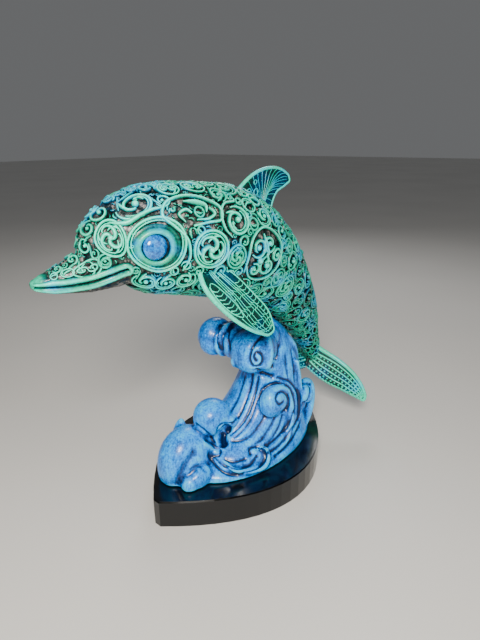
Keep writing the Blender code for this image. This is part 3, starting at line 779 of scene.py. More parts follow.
# Rows of curls that overlap like scales from behind the flank's medallions to the flukes: where they
# start and end along the spine, the angles of the even and the odd rows, and the step in radii.
TAIL_ROWS_FROM, TAIL_ROWS_TO = 176.0, 292
TAIL_ROW_ANGLES = ((-45, 1, 47, 86), (-68, -22, 24, 70))
TAIL_ROW_STEP = 1.6
tail_curls = []
s, odd = TAIL_ROWS_FROM, False
while s < TAIL_ROWS_TO:
    radius = CURL_SHARE * girth(s)
    tail_curls += [(s, a, radius) for a in TAIL_ROW_ANGLES[odd]]
    s += radius * TAIL_ROW_STEP
    odd = not odd

taken = [(s, a, max(long, high)) for kind, s, a, long, high, *rest in MEDALLIONS]
taken.append((*EYE_RING_AT, EYE_RING + 0.8))
for line in LONG_SCROLLS:
    taken += [(s, a, 1.1) for s, a, half in smooth_scroll(line, 40)]
kept_rows = []
for s, a, radius in tail_curls:
    where = hide(s, a)
    apart = [np.linalg.norm(where - hide(*place[:2])) - place[2] for place in taken]
    if min(apart) > 0.6 * radius and clear_of_wave(where, radius * 0.5):
        kept_rows.append((s, a, radius))
filling = kept_rows + fill_places(taken + kept_rows)

# What fills the room, by the radius that it is used above: one of the four is drawn by lot.
FILL_KINDS = (
    (4.8, (scroll, rose, scroll, twin)), (3.2, (snail, scroll, eyelet, snail)),
    (2.0, (snail, comma, eyelet, snail)), (1.0, (snail, comma, comma, comma)),
    (0.0, (twig, twig, twig, comma)),
)
# The belly's scrolls are painted darker, from this angle down: partly darker paint, partly painted shade
# underneath.
BELLY_FROM = -45
BELLY_SHADE = 0.1
# Tendrils join scrolls whose rims are no further apart than this, in mm, and leave a rim at this
# angle beside the straight way, in radians.
TENDRIL_REACH = 2.6
TENDRIL_LEAN = 0.95
# The small curls between the eye's collar and its ring.
EYE_CURLS_AT = 12.8

flanks = {hand: Side(hand) for hand in ("left", "right")}
for hand, flank in flanks.items():
    for kind, s, a, long, high, tilt, half, spin, start in MEDALLIONS:
        radius = (long + high) / 2
        strokes, beads = kind(radius, half, spin=spin, start=start)
        flank.lay(s, a, strokes, beads, tilt, (long / radius, high / radius), lift=0.25)
    for line in LONG_SCROLLS:
        flank.stroke(flank.work(line[0][0]), *smooth_scroll(line, 90).T, lift=0.35)
    dice = np.random.default_rng(5)
    for s, a, radius in filling:
        kinds = next(four for above, four in FILL_KINDS if radius > above)
        kind = kinds[dice.integers(4)]
        half = min(0.95, 0.32 + 0.15 * radius)
        strokes, beads = kind(radius * 0.97, half, spin=dice.choice((-1, 1)), start=dice.uniform(0, 360))
        # Small scrolls lie sunk lower and get painted shade; larger ones differ only a little in tone, at
        # random.
        small = radius < 2
        dim = dice.uniform(0.14, 0.34) if small else dice.uniform(0.0, 0.12)
        flank.lay(
            s, a, strokes, beads, lift=dice.uniform(-0.8, -0.3) if small else dice.uniform(0.0, 0.5),
            glow=dice.uniform(0.8, 1.0), shade=dim + (BELLY_SHADE if a < BELLY_FROM else 0.0),
        )
    # Short tendrils that run from each scroll into its neighbour.
    spots = [(s, a, radius) for s, a, radius in filling if radius > 2.0]
    spots += [(s, a, radius - 1) for s, a, radius in taken[:len(MEDALLIONS)]]
    where = np.array([hide(s, a) for s, a, r in spots])
    for i, (s, a, radius) in enumerate(spots):
        far = np.linalg.norm(where - where[i], axis=1)
        for j in np.argsort(far)[1:4]:
            if j < i or far[j] > radius + spots[j][2] + TENDRIL_REACH:
                continue
            if not clear_of_wave((where[i] + where[j]) / 2, 1.5):
                continue
            along, round_it = stretch(s, a)
            to = np.array([(spots[j][0] - s) * along, (spots[j][1] - a) * round_it])
            heading = math.atan2(to[1], to[0])
            aside = np.array([math.cos(heading + TENDRIL_LEAN), math.sin(heading + TENDRIL_LEAN)])
            one = radius * aside
            other = to - spots[j][2] * aside
            middle = (one + other) / 2
            first = one * 0.35 + middle * 0.65 + 0.3
            second = other * 0.35 + middle * 0.65 - 0.3
            line = np.array([(*one, 0.4), (*first, 0.7), (*second, 0.7), (*other, 0.4)])
            flank.lay(s, a, [line], [], lift=-0.25, glow=0.8)
    # The eye's smooth collar, the ring round it, and the curls between them.
    flank.lay(*EYE_RING_AT, double_hoop(EYE_RING, 0.95), [], lift=0.4)
    flank.collar(*EYE_AT, COLLAR)
    for turn in range(-30, 235, 33):
        x, y = polar(EYE_CURLS_AT, turn)
        at = (x + 0.6, y + 0.5)
        flank.lay(*EYE_RING_AT, [curl(1.25, 0.4, turn, 1.0, 0.5, centre=at)], [], lift=0.35, glow=0.8)
    # The lips: smooth bands above and below the mouth, joined round its corner.
    lip = np.linspace(0.02, 1.0, 70)
    upper = np.stack([np.interp(lip, np.linspace(0, 1, 60), column) for column in mouth_line.T], axis=1)
    width = np.minimum(1.75, 0.7 + upper[:, 0] * 0.11)
    apart = np.degrees((width + 0.25) / girth(upper[:, 0]))
    round_corner = np.linspace(90, -90, 12)[1:-1]
    corner_s = upper[-1, 0] + 2.0 * np.cos(np.radians(round_corner))
    corner_a = upper[-1, 1] + apart[-1] * np.sin(np.radians(round_corner))
    at = np.concatenate([upper[:, 0], corner_s, upper[::-1, 0]])
    turn = np.concatenate([upper[:, 1] + apart, corner_a, (upper[:, 1] - apart)[::-1]])
    half = np.concatenate([width, np.full(len(corner_s), 1.5), width[::-1]])
    flank.stroke(flank.works["head"], at, turn, half, 0.2, rise=0.75, glow=0.92)

# A row of small loops down the middle of the back and along the belly, laid once.
# Each row's angle, and where it starts and ends along the spine.
LOOP_ROWS = ((90.0, 52.0, 117.0), (90.0, 168.0, 280.0), (-90.0, 48.0, 130.0), (-90.0, 240.0, 278.0))
WIDEST_LOOP = 2.6
dice = np.random.default_rng(3)
for turn, starts, ends in LOOP_ROWS:
    s = starts
    while s < ends:
        radius = min(WIDEST_LOOP, 0.3 * np.interp(s, SPINE_AT, SPINE_ROWS[:, 10]))
        if clear_of_wave(hide(s, turn), radius):
            strokes, beads = eyelet(radius, 0.5, start=dice.uniform(0, 90))
            # Loops on the belly are painted darker: partly darker paint, partly painted shade underneath.
            flanks["left"].lay(s, turn, strokes, beads, glow=0.9, shade=0.2 if turn < 0 else 0.0)
        s += radius * 2.1 / stretch(s, turn)[0]

for hand, flank in flanks.items():
    for part, work in flank.works.items():
        work.piece(f"filigree_{hand}_{part}")


# The fins
# Thin cast blades, each with a thick rim. The field between is openwork on the real casting:
# ribs that fan from the root, joined by short ties, over a dark ground.

# Half the thickness of a fin's ground, and how deep the feet of its ribs go into it.
FIN_FIELD = 0.75
FIN_FOOT = 0.3
# The ground's steps along and across, the rim's steps and sides, and how high each is painted.
FIELD_STEPS = 46
FIELD_ACROSS = 16
FIELD_RELIEF = 0.26
RIM_STEPS = 150
RIM_SIDES = 8
RIM_RELIEF = 0.84


class Blade:
    """A fin between its front and back edges, given from root to tip."""

    def __init__(self, front, back, steps=60):
        self.front, self.back = smooth_rows(front, steps), smooth_rows(back, steps)
        middle = (self.front + self.back) / 2
        across = unit(self.back - self.front)
        self.face = unit(np.cross(unit(np.gradient(middle, axis=0)), across))
        self.steps = steps

    def at(self, t, k):
        """Points for shares t from root to tip and k from front to back, and the way off the face."""
        t, k = np.broadcast_arrays(np.asarray(t, float), np.asarray(k, float))
        place = np.clip(t, 0, 1) * (self.steps - 1)

        def read(rows):
            """Rows between the fin's steps."""
            return np.stack([np.interp(place, np.arange(self.steps), column) for column in rows.T], axis=-1)

        front, back = read(self.front), read(self.back)
        return front + (back - front) * k[..., None], unit(read(self.face))

    def field(self, work, shade=0.1):
        """The thin ground between the rims, as one closed plate."""
        along, across = np.linspace(0, 1, FIELD_STEPS), np.linspace(0.02, 0.98, FIELD_ACROSS)
        t, k = np.meshgrid(along, across, indexing="ij")
        points, out = self.at(t, k)
        sheets = np.concatenate([points + out * FIN_FIELD, (points - out * FIN_FIELD)[:, ::-1]], axis=1)
        plate = sheets.reshape(-1, 3)
        faces = skin_faces(FIELD_STEPS, 2 * FIELD_ACROSS)
        work.put(plate, faces, np.full(len(plate), FIELD_RELIEF), shade)

    def rim(self, work, half, thin=0.6):
        """The thick rim: out along the front edge, round the tip and back along the back edge."""
        tip = (self.front[-1] + self.back[-1]) / 2
        line = np.concatenate([self.front[:-1], tip[None], self.back[-2::-1]])
        face = np.concatenate([self.face, self.face[-2::-1]])[:len(line)]
        line = np.column_stack([line, face])
        line = smooth_rows(line[::3], RIM_STEPS)
        width = half * (1 - (1 - thin) * np.linspace(0, 1, RIM_STEPS))
        points, face = line[:, :3], unit(line[:, 3:])
        aside = unit(np.cross(face, unit(np.gradient(points, axis=0))))
        turn = np.arange(RIM_SIDES) * math.tau / RIM_SIDES
        ring = (
            points[:, None]
            + aside[:, None] * (width[:, None] * np.cos(turn))[..., None]
            + face[:, None] * (1.15 * width[:, None] * np.sin(turn))[..., None]
        )
        relief = np.full(RIM_STEPS * RIM_SIDES, RIM_RELIEF)
        work.put(ring.reshape(-1, 3), skin_faces(RIM_STEPS, RIM_SIDES), relief, 0.0)

    def rib(self, work, places, half, glow=0.95, rise=1.2):
        """A rib on both faces along (t, k) places."""
        places = np.array(places, float)
        corners = self.at(places[:, 0], places[:, 1])[0]
        count = int(np.clip(np.linalg.norm(np.diff(corners, axis=0), axis=1).sum() / 1.3, 5, 30))
        line = smooth_rows(np.column_stack([places, np.zeros(len(places))]), count, places=2)
        points, face = self.at(line[:, 0], line[:, 1])
        width = np.linspace(half, half * 0.6, count)
        for hand in (1, -1):
            work.cord(points + face * hand * FIN_FIELD, face * hand, width, rise, glow, foot=FIN_FOOT)

    def beads(self, work, places, radius):
        """Beads of uneven size on both faces at (t, k) places."""
        sizes = radius * np.random.default_rng(len(places)).uniform(0.75, 1.15, len(places))
        for (t, k), size in zip(places, sizes):
            centre, face = self.at(t, k)
            for hand in (1, -1):
                work.bead(centre + face * hand * FIN_FIELD, face * hand, size, 0.85, 0.85, foot=FIN_FOOT)

    def loops(self, work, places, radius, half=0.4):
        """Small rings on both faces, centred on (t, k) places."""
        turn = np.linspace(0, math.tau * 1.03, 18)
        for t, k in places:
            centre, face = self.at(t, k)
            ahead = unit(self.at(min(t + 0.03, 1), k)[0] - self.at(t - 0.03, k)[0])
            side = np.cross(face, ahead)
            ring = centre + radius * (ahead * np.cos(turn)[:, None] * 1.25 + side * np.sin(turn)[:, None])
            for hand in (1, -1):
                out = np.broadcast_to(face * hand, ring.shape)
                work.cord(ring + out * FIN_FIELD, out, half, 1.1, 0.9, foot=FIN_FOOT)


def ties(blade, work, one, other, count, half=0.3):
    """Short ties between two ribs, each slanting the other way from the last."""
    def read(line, share):
        """A place at a share of a rib's length."""
        return [np.interp(share, np.linspace(0, 1, len(line)), column) for column in np.transpose(line)]

    for i in range(count):
        share = (i + 0.6) / count
        start, end = read(one, share), read(other, share + (0.45 if i % 2 else -0.2) / count)
        blade.rib(work, [start, np.mean([start, end], axis=0), end], half, 0.85, 1.15)


# The dorsal fin: ribs fan out from its root and curl over towards its rim.
dorsal_work = Work()
dorsal = Blade(
    ((-13, 0, 191), (0, 0, 202.4), (14, 0, 210), (30, 0, 212.9), (45, 0, 210.6), (53.5, 0, 205.4)),
    ((26, 0, 168), (30.5, 0, 184), (33, 0, 191), (37.5, 0, 197), (46, 0, 200.4), (53.0, 0, 203.4)),
)
dorsal.field(dorsal_work)
dorsal.rim(dorsal_work, 1.25, 0.75)
# The ribs' root and their ends, as shares from root to tip and from front to back.
DORSAL_ROOT = (0.16, 0.74)
DORSAL_ENDS = (
    (0.34, 0.03), (0.41, 0.03), (0.48, 0.03), (0.55, 0.03), (0.62, 0.03), (0.69, 0.04), (0.76, 0.05),
    (0.83, 0.08), (0.89, 0.16), (0.93, 0.36), (0.92, 0.6), (0.87, 0.84), (0.8, 0.93), (0.71, 0.95),
    (0.61, 0.96), (0.5, 0.96),
)
for end_t, end_k in DORSAL_ENDS:
    bend = (0.12 + 0.48 * end_t, 0.66 - 0.3 * (1 - end_k) * (1 - end_t))
    dorsal.rib(dorsal_work, (DORSAL_ROOT, bend, (end_t, end_k)), 0.44, 0.78)
dorsal.loops(dorsal_work, ((0.27, 0.2), (0.34, 0.34), (0.2, 0.45)), 1.9, 0.45)
dorsal.loops(dorsal_work, ((0.4, 0.17), (0.36, 0.9), (0.26, 0.9)), 1.3, 0.35)
dorsal_work.piece("dorsal_fin")

# The pectorals: a smooth thick front edge, an oval of slats by the root, and a net of fine ties.
PECTORAL = (
    ((-57, -19, 166), (-60, -26, 158), (-52, -34, 143), (-38, -41, 130), (-24.8, -43, 123.4)),
    ((-43, -18, 166), (-39, -27, 161), (-30, -34, 149), (-22, -40, 136), (-20.3, -42.5, 125.4)),
)
PECTORAL_OVAL = (
    (0.2, 0.1), (0.34, 0.06), (0.5, 0.08), (0.6, 0.2), (0.5, 0.34), (0.34, 0.36), (0.22, 0.3), (0.18, 0.18),
    (0.22, 0.09),
)
PECTORAL_RIBS = (
    ((0.08, 0.36), (0.4, 0.42), (0.62, 0.26), (0.8, 0.12), (0.9, 0.1)),
    ((0.08, 0.42), (0.41, 0.49), (0.63, 0.36), (0.82, 0.22), (0.93, 0.2)),
    ((0.08, 0.48), (0.42, 0.55), (0.64, 0.46), (0.84, 0.34), (0.95, 0.32)),
    ((0.1, 0.6), (0.42, 0.67), (0.64, 0.63), (0.84, 0.58), (0.96, 0.58)),
    ((0.12, 0.66), (0.42, 0.73), (0.64, 0.72), (0.84, 0.7), (0.95, 0.71)),
    ((0.14, 0.74), (0.44, 0.8), (0.64, 0.81), (0.84, 0.83), (0.93, 0.86)),
)
# Its root lies this far ahead and this far to the side.
PECTORAL_X = 57
PECTORAL_Y = 19
# The far fin mirrors the near one across the turned head's middle, and is held a little higher.
FAR_RAISE = 0.62
for hand in ("left", "right"):
    edges = PECTORAL
    if hand == "right":
        middle_y = 2 * HEAD_TURN * (PECTORAL_X / HEAD_REACH) ** 2
        edges = [
            [(x, middle_y - y, z + FAR_RAISE * max(0.0, -y - PECTORAL_Y)) for x, y, z in edge]
            for edge in PECTORAL
        ]
    fin_work = Work()
    fin = Blade(*edges)
    fin.field(fin_work)
    fin.rim(fin_work, 1.45, 0.4)
    fin.rib(fin_work, PECTORAL_OVAL, 0.6)
    for slat in np.linspace(0.26, 0.54, 7):
        fin.rib(fin_work, ((slat - 0.02, 0.1), (slat + 0.01, 0.2), (slat, 0.33)), 0.5)
    for rib in PECTORAL_RIBS:
        fin.rib(fin_work, rib, 0.36)
    for one, other in zip(PECTORAL_RIBS, PECTORAL_RIBS[1:]):
        ties(fin, fin_work, one, other, 9, 0.4)
    for along in np.linspace(0.3, 0.92, 13):
        fin.rib(fin_work, ((along, 0.8), (along + 0.015, 0.88), (along, 0.97)), 0.4)
    fin.rib(fin_work, ((0.6, 0.14), (0.7, 0.1), (0.8, 0.08), (0.9, 0.08)), 0.4)
    fin_work.piece(f"{hand}_pectoral_fin")

# The flukes: two lobes, ribbed along their length.
FLUKE = (
    ((95, 0, 66), (96, -10, 62), (99, -24, 55.5), (101, -38, 46), (101.6, -46.5, 35), (101.2, -49.4, 28)),
    ((86, 0, 48.4), (87, -7, 43.8), (90, -19, 37.4), (94, -31, 33.2), (98, -41.5, 28.8),
     (100.6, -48.6, 26.2)),
)
# The ribs' places across the lobe, and how far they spread at each share from root to tip.
FLUKE_RIBS = (0.17, 0.37, 0.57, 0.77)
FLUKE_SPREAD = ((0.03, 0.75), (0.3, 1.0), (0.6, 1.0), (0.8, 0.95), (0.95, 0.7))
# Rows of beads between the ribs: place across, radius in mm and count.
FLUKE_BEADS = ((0.27, 0.95, 17), (0.47, 0.95, 17), (0.67, 0.95, 16), (0.87, 1.05, 15), (0.985, 1.25, 18))
for hand, flip in (("left", 1), ("right", -1)):
    edges = [[(x, y * flip, z) for x, y, z in edge] for edge in FLUKE]
    fin_work = Work()
    fin = Blade(*edges)
    fin.field(fin_work)
    fin.rim(fin_work, 2.1, 0.3)
    for k in FLUKE_RIBS:
        fin.rib(fin_work, [(t, 0.5 + (k - 0.5) * spread) for t, spread in FLUKE_SPREAD], 1.15)
    for k, size, count in FLUKE_BEADS:
        row = np.linspace(0.06, 0.93, count)
        fin.beads(fin_work, [(t, 0.5 + (k - 0.5) * min(1.0, 2.6 - 2.0 * t)) for t in row], size)
    fin_work.piece(f"{hand}_fluke")


# The eyes
# Round cabochons of mottled blue stone, cut and polished to a low dome. Each is glued into the socket
# inside its collar.

STONE_RADIUS = 6.6
STONE_DOME = 3.6
STONE_SINK = 1.0
STONE_RINGS = 26
STONE_SIDES = 48

# Polished stone: clouded in three blues, with one small sharp highlight.
stone, shader = finish_named("polished blue stone")
place = add(stone, "ShaderNodeTexCoord").outputs["Object"]
mottle = add(stone, "ShaderNodeTexNoise", Vector=place, Scale=1 / (2.6 * MM), Detail=6.0, Roughness=0.75)
STONE_BLUES = ((0.34, "#00326e"), (0.46, "#005cae"), (0.56, "#0084dc"), (0.68, "#3cb4f4"))
stone_tone = add(stone, "ShaderNodeValToRGB", stops=STONE_BLUES, Fac=mottle.outputs["Fac"])
stone.node_tree.links.new(stone_tone.outputs["Color"], shader.inputs["Base Color"])
shader.inputs["Roughness"].default_value = 0.16
shader.inputs["Coat Weight"].default_value = 0.6
shader.inputs["Coat Roughness"].default_value = 0.06

for hand, turn in (("left", EYE_AT[1]), ("right", 180 - EYE_AT[1])):
    seat = hide(EYE_AT[0], turn)
    centre = np.array([np.interp(EYE_AT[0], SPINE_AT, SPINE_ROWS[:, k]) for k in range(3)])
    out = unit(seat - centre)
    side = unit(np.cross(out, (0.0, 0.0, 1.0)))
    other = np.cross(out, side)
    angles = np.arange(STONE_SIDES) * math.tau / STONE_SIDES
    ring = side[None] * np.cos(angles)[:, None] + other[None] * np.sin(angles)[:, None]
    rows = []
    for lean in np.radians(np.linspace(176, 4, STONE_RINGS)):
        wide, high = ring * STONE_RADIUS * math.sin(lean), out * STONE_DOME * math.cos(lean)
        rows.append(seat - out * STONE_SINK + wide + high)
    piece = build(f"{hand}_eye_stone", np.concatenate(rows), skin_faces(STONE_RINGS, STONE_SIDES), stone)
    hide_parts(f"{hand}_eye")


# The wave
# A resin casting like the dolphin's: a swell that rises from the foot, narrows to a neck, and rolls
# over in a crest of fat curls. Flow lines are pressed along it, from the foot into the curls.

PLINTH_TOP = 19.05
# The masses are blended into one skin on a grid of cubes this wide.
WAVE_VOXEL = 0.85
# Rings and sides of the bulk, the balls and the bands.
BULK_RINGS, BULK_SIDES = 50, 72
BALL_RINGS, BALL_SIDES = 33, 45
BAND_RINGS, BAND_SIDES = 40, 14

# Levels of the bulk: height over the plinth, middle x and y, half length and half width.
BULK = (
    (0.0, 5.0, -2.0, 60.0, 36.0), (3.0, 5.5, -2.0, 60.0, 36.0), (8.0, 8.0, -2.0, 56.0, 33.5),
    (17.0, 14.0, -2.0, 46.5, 29.0), (31.0, 22.0, -3.0, 35.0, 25.0), (46.0, 27.0, -4.0, 27.0, 22.0),
    (61.0, 27.0, -5.0, 22.4, 19.0), (76.0, 23.4, -5.0, 19.0, 15.6), (88.0, 18.0, -4.6, 14.4, 13.4),
    (95.0, 14.5, -3.6, 9.5, 10.0),
)
# Rounded masses: middle, half sizes, squareness and tilt about the width, in degrees.
MASSES = (
    ((-6.0, -16.0, 80.5), (14.6, 14.5, 14.2), 2.5, 0.0),
    ((-6.0, -1.0, 82.0), (11.0, 7.0, 10.6), 2.4, 0.0),
    ((-7.5, 5.5, 83.5), (12.6, 3.0, 12.2), 2.2, 0.0),
    ((-9.6, 15.0, 84.0), (13.4, 10.5, 13.4), 2.1, 0.0),
    ((7.0, -4.0, 86.0), (16.0, 20.0, 9.5), 2.2, -8.0),
    ((5.0, -25.0, 41.0), (12.0, 8.0, 11.6), 2.1, 0.0),
    ((42.6, -26.4, 30.8), (7.4, 6.4, 7.2), 2.0, 0.0),
    ((43.0, -18.0, 23.0), (11.0, 8.0, 15.0), 2.0, 0.0),
    ((-32.0, -0.5, 36.5), (13.2, 12.2, 12.4), 2.1, 0.0),
    ((-23.8, -10.6, 33.4), (6.6, 4.6, 4.8), 2.0, -25.0),
    ((-50.0, 7.0, 8.0), (21.0, 16.0, 25.0), 2.15, 0.0),
    ((-59.0, -7.0, 2.5), (8.0, 6.4, 7.2), 2.2, 0.0),
    ((-53.5, -8.5, 4.0), (9.5, 6.6, 8.4), 2.2, 15.0),
    ((-46.0, 18.0, 21.0), (4.2, 4.8, 12.5), 2.0, -18.0),
)
# Rolled bands that run up a side: points they run through, width and thickness.
BANDS = (
    # up the flank into its curl
    (((-4.0, -33.0, 1.0), (10.0, -32.0, 10.0), (18.5, -29.5, 24.0), (19.0, -27.0, 38.0),
      (12.0, -27.0, 50.0), (2.0, -27.0, 51.0)), 9.0, 6.0),
    # behind it, over the outer ball
    (((29.0, -29.0, 2.0), (43.0, -27.0, 6.5), (54.0, -23.5, 13.5), (60.2, -20.5, 22.0), (60.6, -19.5, 28.5),
      (56.5, -20.0, 34.0), (50.0, -21.5, 35.6), (43.0, -22.0, 33.0)), 9.0, 6.0),
    # between the two
    (((22.0, -31.5, 1.0), (33.0, -28.5, 12.0), (37.0, -26.0, 27.0), (36.0, -24.5, 44.0),
      (33.0, -24.5, 62.0)), 7.0, 4.6),
    # the shell at the foot
    (((-42.0, -18.0, 17.0), (-38.0, -25.0, 9.0), (-27.0, -31.5, 5.0), (-16.0, -34.5, 5.5),
      (-12.0, -33.0, 11.0), (-15.5, -32.0, 17.0), (-22.0, -31.5, 18.5)), 6.0, 5.0),
    # the shoulder, over to the crest
    (((42.0, -17.0, 46.0), (40.8, -16.2, 60.0), (36.6, -15.6, 70.5), (29.0, -14.6, 79.5),
      (17.0, -13.5, 86.5)), 11.0, 7.0),
)
# Two plainer bands on the far side, one up the flank and one behind it.
FAR_BANDS = (
    (((-2.0, 29.0, 1.0), (14.0, 27.5, 12.0), (24.0, 22.5, 28.0), (25.0, 17.5, 43.0), (18.0, 14.0, 52.0)),
     9.0, 6.0),
    (((38.0, 24.0, 1.0), (51.0, 20.0, 12.0), (53.0, 14.5, 25.0), (46.0, 10.0, 35.0)), 8.0, 5.0),
)


def water(points):
    """Points drawn in mm with their height over the plinth, as points in mm over the ground."""
    return np.asarray(points, float) + (0.0, 0.0, PLINTH_TOP)


def ball(middle, half, squareness, tilt):
    """A rounded mass: an oval whose sides fill out as its squareness grows."""
    leans, turns = np.linspace(-88, 88, BALL_RINGS), np.arange(0, 360, 360 // BALL_SIDES)
    lean, turn = np.meshgrid(np.radians(leans), np.radians(turns), indexing="ij")

    def full(value):
        """A sine or cosine whose oval is filled out."""
        return np.sign(value) * np.abs(value) ** (2 / squareness)

    x = full(np.cos(lean)) * full(np.cos(turn)) * half[0]
    y = full(np.sin(lean)) * half[1]
    z = full(np.cos(lean)) * full(np.sin(turn)) * half[2]
    cos, sin = math.cos(math.radians(tilt)), math.sin(math.radians(tilt))
    points = np.stack([x * cos - z * sin, y, x * sin + z * cos], axis=-1).reshape(-1, 3) + middle
    points[:, 2] = np.maximum(points[:, 2], 0.0)
    return water(points), skin_faces(BALL_RINGS, BALL_SIDES)


def band(points, width, thick):
    """A fat rounded band along a run of points, its width lying across the wave."""
    line = smooth_rows(points, BAND_RINGS)
    ahead = unit(np.gradient(line, axis=0))
    side = unit(np.cross(ahead, np.cross((0.0, 1.0, 0.0), ahead)))
    out = np.cross(ahead, side)
    turn = np.arange(BAND_SIDES) * math.tau / BAND_SIDES
    thin = np.sin(np.linspace(0.5, 2.5, BAND_RINGS))[:, None, None]
    ring = line[:, None] + side[:, None] * (np.cos(turn) * width / 2)[None, :, None] * thin
    ring = ring + out[:, None] * (np.sin(turn) * thick / 2)[None, :, None] * thin
    ring[..., 2] = np.maximum(ring[..., 2], 0.0)
    return water(ring.reshape(-1, 3)), skin_faces(BAND_RINGS, BAND_SIDES)


def swell_body():
    """The bulk: an oval at each level, joined from the foot to the crest."""
    turn = np.arange(BULK_SIDES) * math.tau / BULK_SIDES
    rings = []
    for z, x, y, long, wide in smooth_rows(BULK, BULK_RINGS, places=1):
        level = np.full(BULK_SIDES, z)
        rings.append(np.stack([x + long * np.cos(turn), y + wide * np.sin(turn), level], axis=1))
    return water(np.concatenate(rings)), skin_faces(BULK_RINGS, BULK_SIDES)


masses = [swell_body()] + [ball(*mass) for mass in MASSES]
masses += [band(*run) for run in BANDS + FAR_BANDS]
rough = bmesh.new()
for points, faces in masses:
    corners = [rough.verts.new(Vector(p) * MM) for p in points]
    for face in faces:
        rough.faces.new([corners[i] for i in face])
bmesh.ops.recalc_face_normals(rough, faces=rough.faces)
mesh = bpy.data.meshes.new("wave_casting")
rough.to_mesh(mesh)
rough.free()
wave = bpy.data.objects.new("wave_casting", mesh)
bpy.context.scene.collection.objects.link(wave)
blend = wave.modifiers.new("one casting", "REMESH")
blend.mode = "VOXEL"
blend.voxel_size = WAVE_VOXEL * MM
soften = wave.modifiers.new("smooth", "SMOOTH")
soften.factor = 0.6
soften.iterations = 9
graph = bpy.context.evaluated_depsgraph_get()
mesh = bpy.data.meshes.new_from_object(wave.evaluated_get(graph))
bpy.data.objects.remove(wave, do_unlink=True)

count = len(mesh.vertices)
spots = np.empty(count * 3)
mesh.vertices.foreach_get("co", spots)
spots = spots.reshape(-1, 3) / MM
away = np.empty(count * 3)
mesh.vertices.foreach_get("normal", away)
away = away.reshape(-1, 3)
ends = np.empty(len(mesh.edges) * 2, int)
mesh.edges.foreach_get("vertices", ends)
ends = ends.reshape(-1, 2)

# Creases pressed into the side that is seen, and swells raised on it, drawn on the picture and laid on
# the casting where the camera sees them: depth in mm (less than nothing stands proud), reach to each
# side in mm, and points in pixels. A crease is sharp with round shoulders, as between two rolled bands.
PRESSED = (
    # the neck's bands
    (1.2, 1.5, ((252.5, 374), (251, 385), (246, 400), (240, 414), (232.5, 425), (226, 431))),
    (1.2, 1.5, ((258.8, 376), (257, 385), (252.5, 402.5), (247.5, 415), (240, 426), (230, 435))),
    (0.9, 1.4, ((262, 389), (256, 402.5), (250, 419), (242.5, 430), (232.5, 439))),
    (1.2, 1.7, ((264.5, 417), (259, 426), (252.5, 434), (242.5, 440), (228, 441))),
    (0.8, 1.2, ((244.5, 377), (242, 386), (237, 400), (231, 411))),
    # the flank's bands and its volute
    (1.0, 1.4, ((276, 416), (270, 427.5), (260, 441), (249, 447.5))),
    (1.0, 1.4, ((283, 415), (280, 425), (271, 440), (260, 449))),
    (1.5, 1.5, ((265, 388), (272.5, 383.5), (282.5, 383.5), (291, 389), (295, 399), (295, 410), (290, 421),
                (280, 435), (265, 447.5))),
    (1.4, 1.5, ((278, 378), (290, 381.5), (297, 390), (300, 402.5), (298.8, 417.5), (291, 431), (279, 446),
                (266, 455))),
    (1.3, 1.3, ((282, 411.8), (286.5, 408.5), (288.8, 404), (288, 396), (282.5, 391.5), (277, 395),
                (276.6, 401), (280, 404.5), (284, 402))),
    (1.6, 1.5, ((303, 404), (302.5, 417.5), (297.5, 431), (287.5, 446), (276, 456))),
    (1.2, 1.3, ((308, 383), (310.5, 388.5), (310, 395), (307.5, 401), (302.5, 403.5))),
    (-0.9, 4.5, ((271, 396), (272, 402))),
    # the crest
    (1.3, 1.4, ((221, 325), (218, 333), (218, 341), (221, 349))),
    (1.2, 1.2, ((232.5, 323), (229, 331), (228, 340), (230, 349))),
    (1.7, 1.3, ((263, 335), (256, 342), (251, 352), (250.3, 362), (254, 367), (260, 366), (263.5, 360),
                (261.5, 354), (256.5, 352.8), (253.8, 357), (256, 361))),
    (-2.0, 3.0, ((268, 339), (270, 349), (270, 358), (268, 366))),
    (1.7, 1.3, ((279.5, 346), (277.5, 356), (273, 363), (272, 367))),
    (0.8, 1.2, ((285.6, 356), (287, 370), (288.8, 382))),
    (0.9, 1.2, ((291.5, 350), (294, 366), (295, 382))),
    (2.8, 2.0, ((257, 371.5), (264, 374), (272, 376.5))),
    (-1.4, 2.0, ((233, 362), (234.5, 366))),
    # the hood in front and its hollow
    (1.3, 1.3, ((234, 423), (228, 424), (222.5, 424.5), (219, 428), (217.5, 434), (219, 441))),
    (6.5, 3.4, ((226, 428.5), (222.5, 431), (221.5, 437), (223, 442))),
    (1.2, 1.3, ((196, 424.5), (204, 430.5), (211, 437), (217, 444))),
    # the mound and the foot
    (1.8, 3.2, ((194, 453), (187, 463), (181, 473), (176, 485))),
    (0.5, 1.6, ((190, 469), (198, 465.5), (206, 471))),
    # the shell
    (1.7, 1.4, ((209.5, 455), (214, 463), (224, 472), (234, 475.5), (248, 473), (259, 467), (265, 457),
                (262, 449), (255, 446.5), (250, 449.5), (250.5, 453.5))),
    (1.0, 1.2, ((214, 457), (223, 465), (238, 468.5), (250, 464.5), (257, 456))),
    (0.9, 1.2, ((222, 458.5), (233, 462), (245, 459))),
    (1.2, 1.2, ((206, 440), (214, 444), (220.5, 449.5), (219, 455), (213.5, 456))),
    (-1.2, 2.0, ((205, 444), (211, 448), (215, 452))),
)

# A crease that reaches further than this is a round hollow.
HOLLOW = 2.5

shell = bvhtree.BVHTree.FromPolygons(
    [Vector(p) for p in spots.tolist()], [tuple(p.vertices) for p in mesh.polygons],
)


def seen_line(pixels):
    """Points in mm on the casting under a smooth line of pixels."""
    line = smooth_rows(pixels, 14 * len(pixels), places=2)
    eye_at = CAMERA_AT / MM
    hits = [shell.ray_cast(eye_at, sight(px, py))[0] for px, py in line]
    return np.array([tuple(h) for h in hits if h is not None]).reshape(-1, 3)
